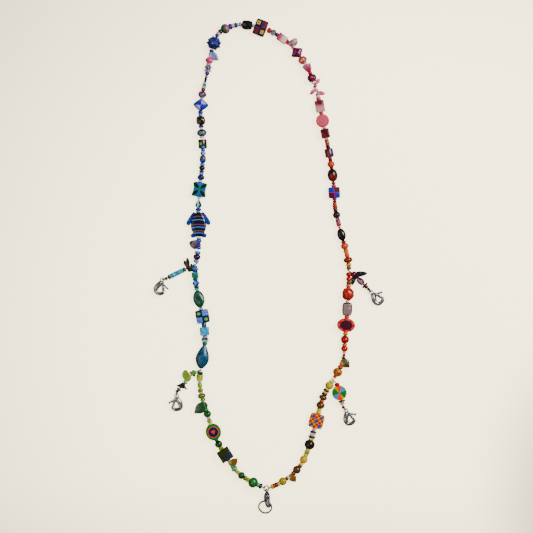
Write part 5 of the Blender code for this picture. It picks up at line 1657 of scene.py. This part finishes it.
def add_closing(left, right):
    """The two end loops, the closing ring, the bottom clasp and its split ring."""
    right_end = right.points[-1]
    ring_centre = right_end - BOTTOM_RING * way(RIGHT_END_HEADING)
    tail = ring_centre + BOTTOM_RING * way(CLASP_ON_RING_HEADING)
    turned = angle_matrix(BOTTOM_CLASP_HEADING, "Z") @ angle_matrix(BOTTOM_CLASP_ROLL, "X")
    clasp = Matrix.Translation(tail) @ turned @ Matrix.Diagonal((*BOTTOM_CLASP_SCALE, 1.0))
    hold = clasp @ Vector(BOTTOM_HOLD)
    add_end_loop("left_end_loop", left.points[-1], ring_centre, "lower_left_arm")
    add_end_loop("right_end_loop", right_end, ring_centre, "lower_right_arm")
    ring = Piece("shown_closing_ring")
    ring.add(ring_shape(BOTTOM_RING, RING_WIRE), Matrix.Translation(ring_centre), "gunmetal")
    ring.finish("lower_left_arm", "closing_ring")
    add_clasp("bottom", clasp, "steel")
    tilt = math.asin((hold.z - 0.5) / (2 * SPLIT_RING))
    place = Matrix.Translation(hold) @ angle_matrix(SPLIT_HEADING, "Z") @ Matrix.Rotation(tilt, 4, "Y")
    split = Piece("shown_split_ring")
    for height in SPLIT_TURNS:
        turn_of_wire = place @ Matrix.Translation((SPLIT_RING, 0, height))
        split.add(ring_shape(SPLIT_RING, SPLIT_WIRE, 72), turn_of_wire, "ring_steel")
    split.finish("split_ring_body", "split_ring")


def add_camera():
    """A camera that looks straight down."""
    data = bpy.data.cameras.new("camera")
    data.sensor_width = SENSOR_WIDTH
    data.lens = SENSOR_WIDTH * CAMERA_HEIGHT / VIEW_WIDTH
    camera = bpy.data.objects.new("camera", data)
    camera.location = (*CAMERA_CENTRE, CAMERA_HEIGHT)
    bpy.context.scene.collection.objects.link(camera)
    bpy.context.scene.camera = camera


def add_floor():
    """A sheet of warm white paper, far wider than the view, that glows with painted light: a painted pool of
    light brightest near the middle, painted shadow in the lower right corner and painted shade towards the
    bottom edge.
    """
    mesh = bpy.data.meshes.new("floor")
    mesh.from_pydata([(-3, -3, 0), (3, -3, 0), (3, 3, 0), (-3, 3, 0)], [], [(0, 1, 2, 3)])
    material = bpy.data.materials.new("paper")
    material.use_nodes = True
    tree = material.node_tree
    shader = tree.nodes["Principled BSDF"]
    shader.inputs["Roughness"].default_value = 0.8
    fibres = tree.nodes.new("ShaderNodeTexNoise")
    fibres.inputs["Scale"].default_value = 700.0
    fibres.inputs["Detail"].default_value = 6.0
    place = tree.nodes.new("ShaderNodeTexCoord")
    tree.links.new(place.outputs["Object"], fibres.inputs["Vector"])
    colours = tree.nodes.new("ShaderNodeValToRGB")
    colours.color_ramp.elements[0].color = linear("#efe6d6")
    colours.color_ramp.elements[1].color = linear("#f6efe2")
    tree.links.new(fibres.outputs["Fac"], colours.inputs["Fac"])
    tree.links.new(colours.outputs["Color"], shader.inputs["Base Color"])
    shader.inputs["Emission Color"].default_value = linear("#fff0bc")
    split = tree.nodes.new("ShaderNodeSeparateXYZ")
    tree.links.new(place.outputs["Object"], split.inputs[0])
    x, y = Field(tree, split.outputs["X"]), Field(tree, split.outputs["Y"])
    # Painted light: the paper's glow is brightest in a pool just right of the middle and falls to about a
    # third towards the edges
    painted_light_pool = length_of(x - 0.1, y + 0.06).soft(0.5, 0.2) * (PAPER_GLOW * 0.65) + PAPER_GLOW * 0.35
    # Painted shadow: a soft patch at the lower right corner where the glow drops to a quarter
    corner = length_of(x - 0.29, (y + 0.2) * 0.7).soft(0.05, 0.13) * 0.75 + 0.25
    # Painted shade: the glow dims to seven tenths towards the bottom edge of the view
    painted_bottom_shade = y.soft(-0.27, -0.17) * 0.3 + 0.7
    tree.links.new((painted_light_pool * corner * painted_bottom_shade).socket, shader.inputs["Emission Strength"])
    mesh.materials.append(material)
    floor = bpy.data.objects.new("floor", mesh)
    floor.visible_diffuse = False
    floor.visible_glossy = False
    floor.location.z = -0.0002
    bpy.context.scene.collection.objects.link(floor)


def add_light(name, location, size, power, colour):
    """A square light that faces the middle of the floor."""
    data = bpy.data.lights.new(name, "AREA")
    data.size = size
    data.energy = power
    data.color = colour
    light = bpy.data.objects.new(name, data)
    light.location = location
    light.rotation_euler = (-Vector(location)).to_track_quat("-Z", "Y").to_euler()
    bpy.context.scene.collection.objects.link(light)


def add_lights():
    """A bright window on one side, a soft fill from the other, and a dim room."""
    add_light("window", (0.8, 0.5, 1.0), 0.6, 24.0, (1.0, 0.97, 0.92))
    add_light("fill", (-0.9, -0.3, 1.3), 1.2, 6.0, (0.97, 0.98, 1.0))
    world = bpy.data.worlds.new("room")
    world.use_nodes = True
    world.node_tree.nodes["Background"].inputs["Color"].default_value = (1.0, 0.98, 0.95, 1.0)
    world.node_tree.nodes["Background"].inputs["Strength"].default_value = 0.2
    bpy.context.scene.world = world


def main():
    """Everything in the scene."""
    left, right = Route(LEFT_ROUTE), Route(RIGHT_ROUTE)
    add_camera()
    add_threads(left, right)
    add_floor()
    add_lights()
    left_middle, right_middle = left.stations["left_pivot"], right.stations["right_pivot"]
    string_half(left, LEFT_STRAND, lambda at: "upper_left_arm" if at < left_middle else "lower_left_arm")
    string_half(right, RIGHT_STRAND, lambda at: "upper_right_arm" if at < right_middle else "lower_right_arm")
    add_drops(left, right)
    add_closing(left, right)


main()
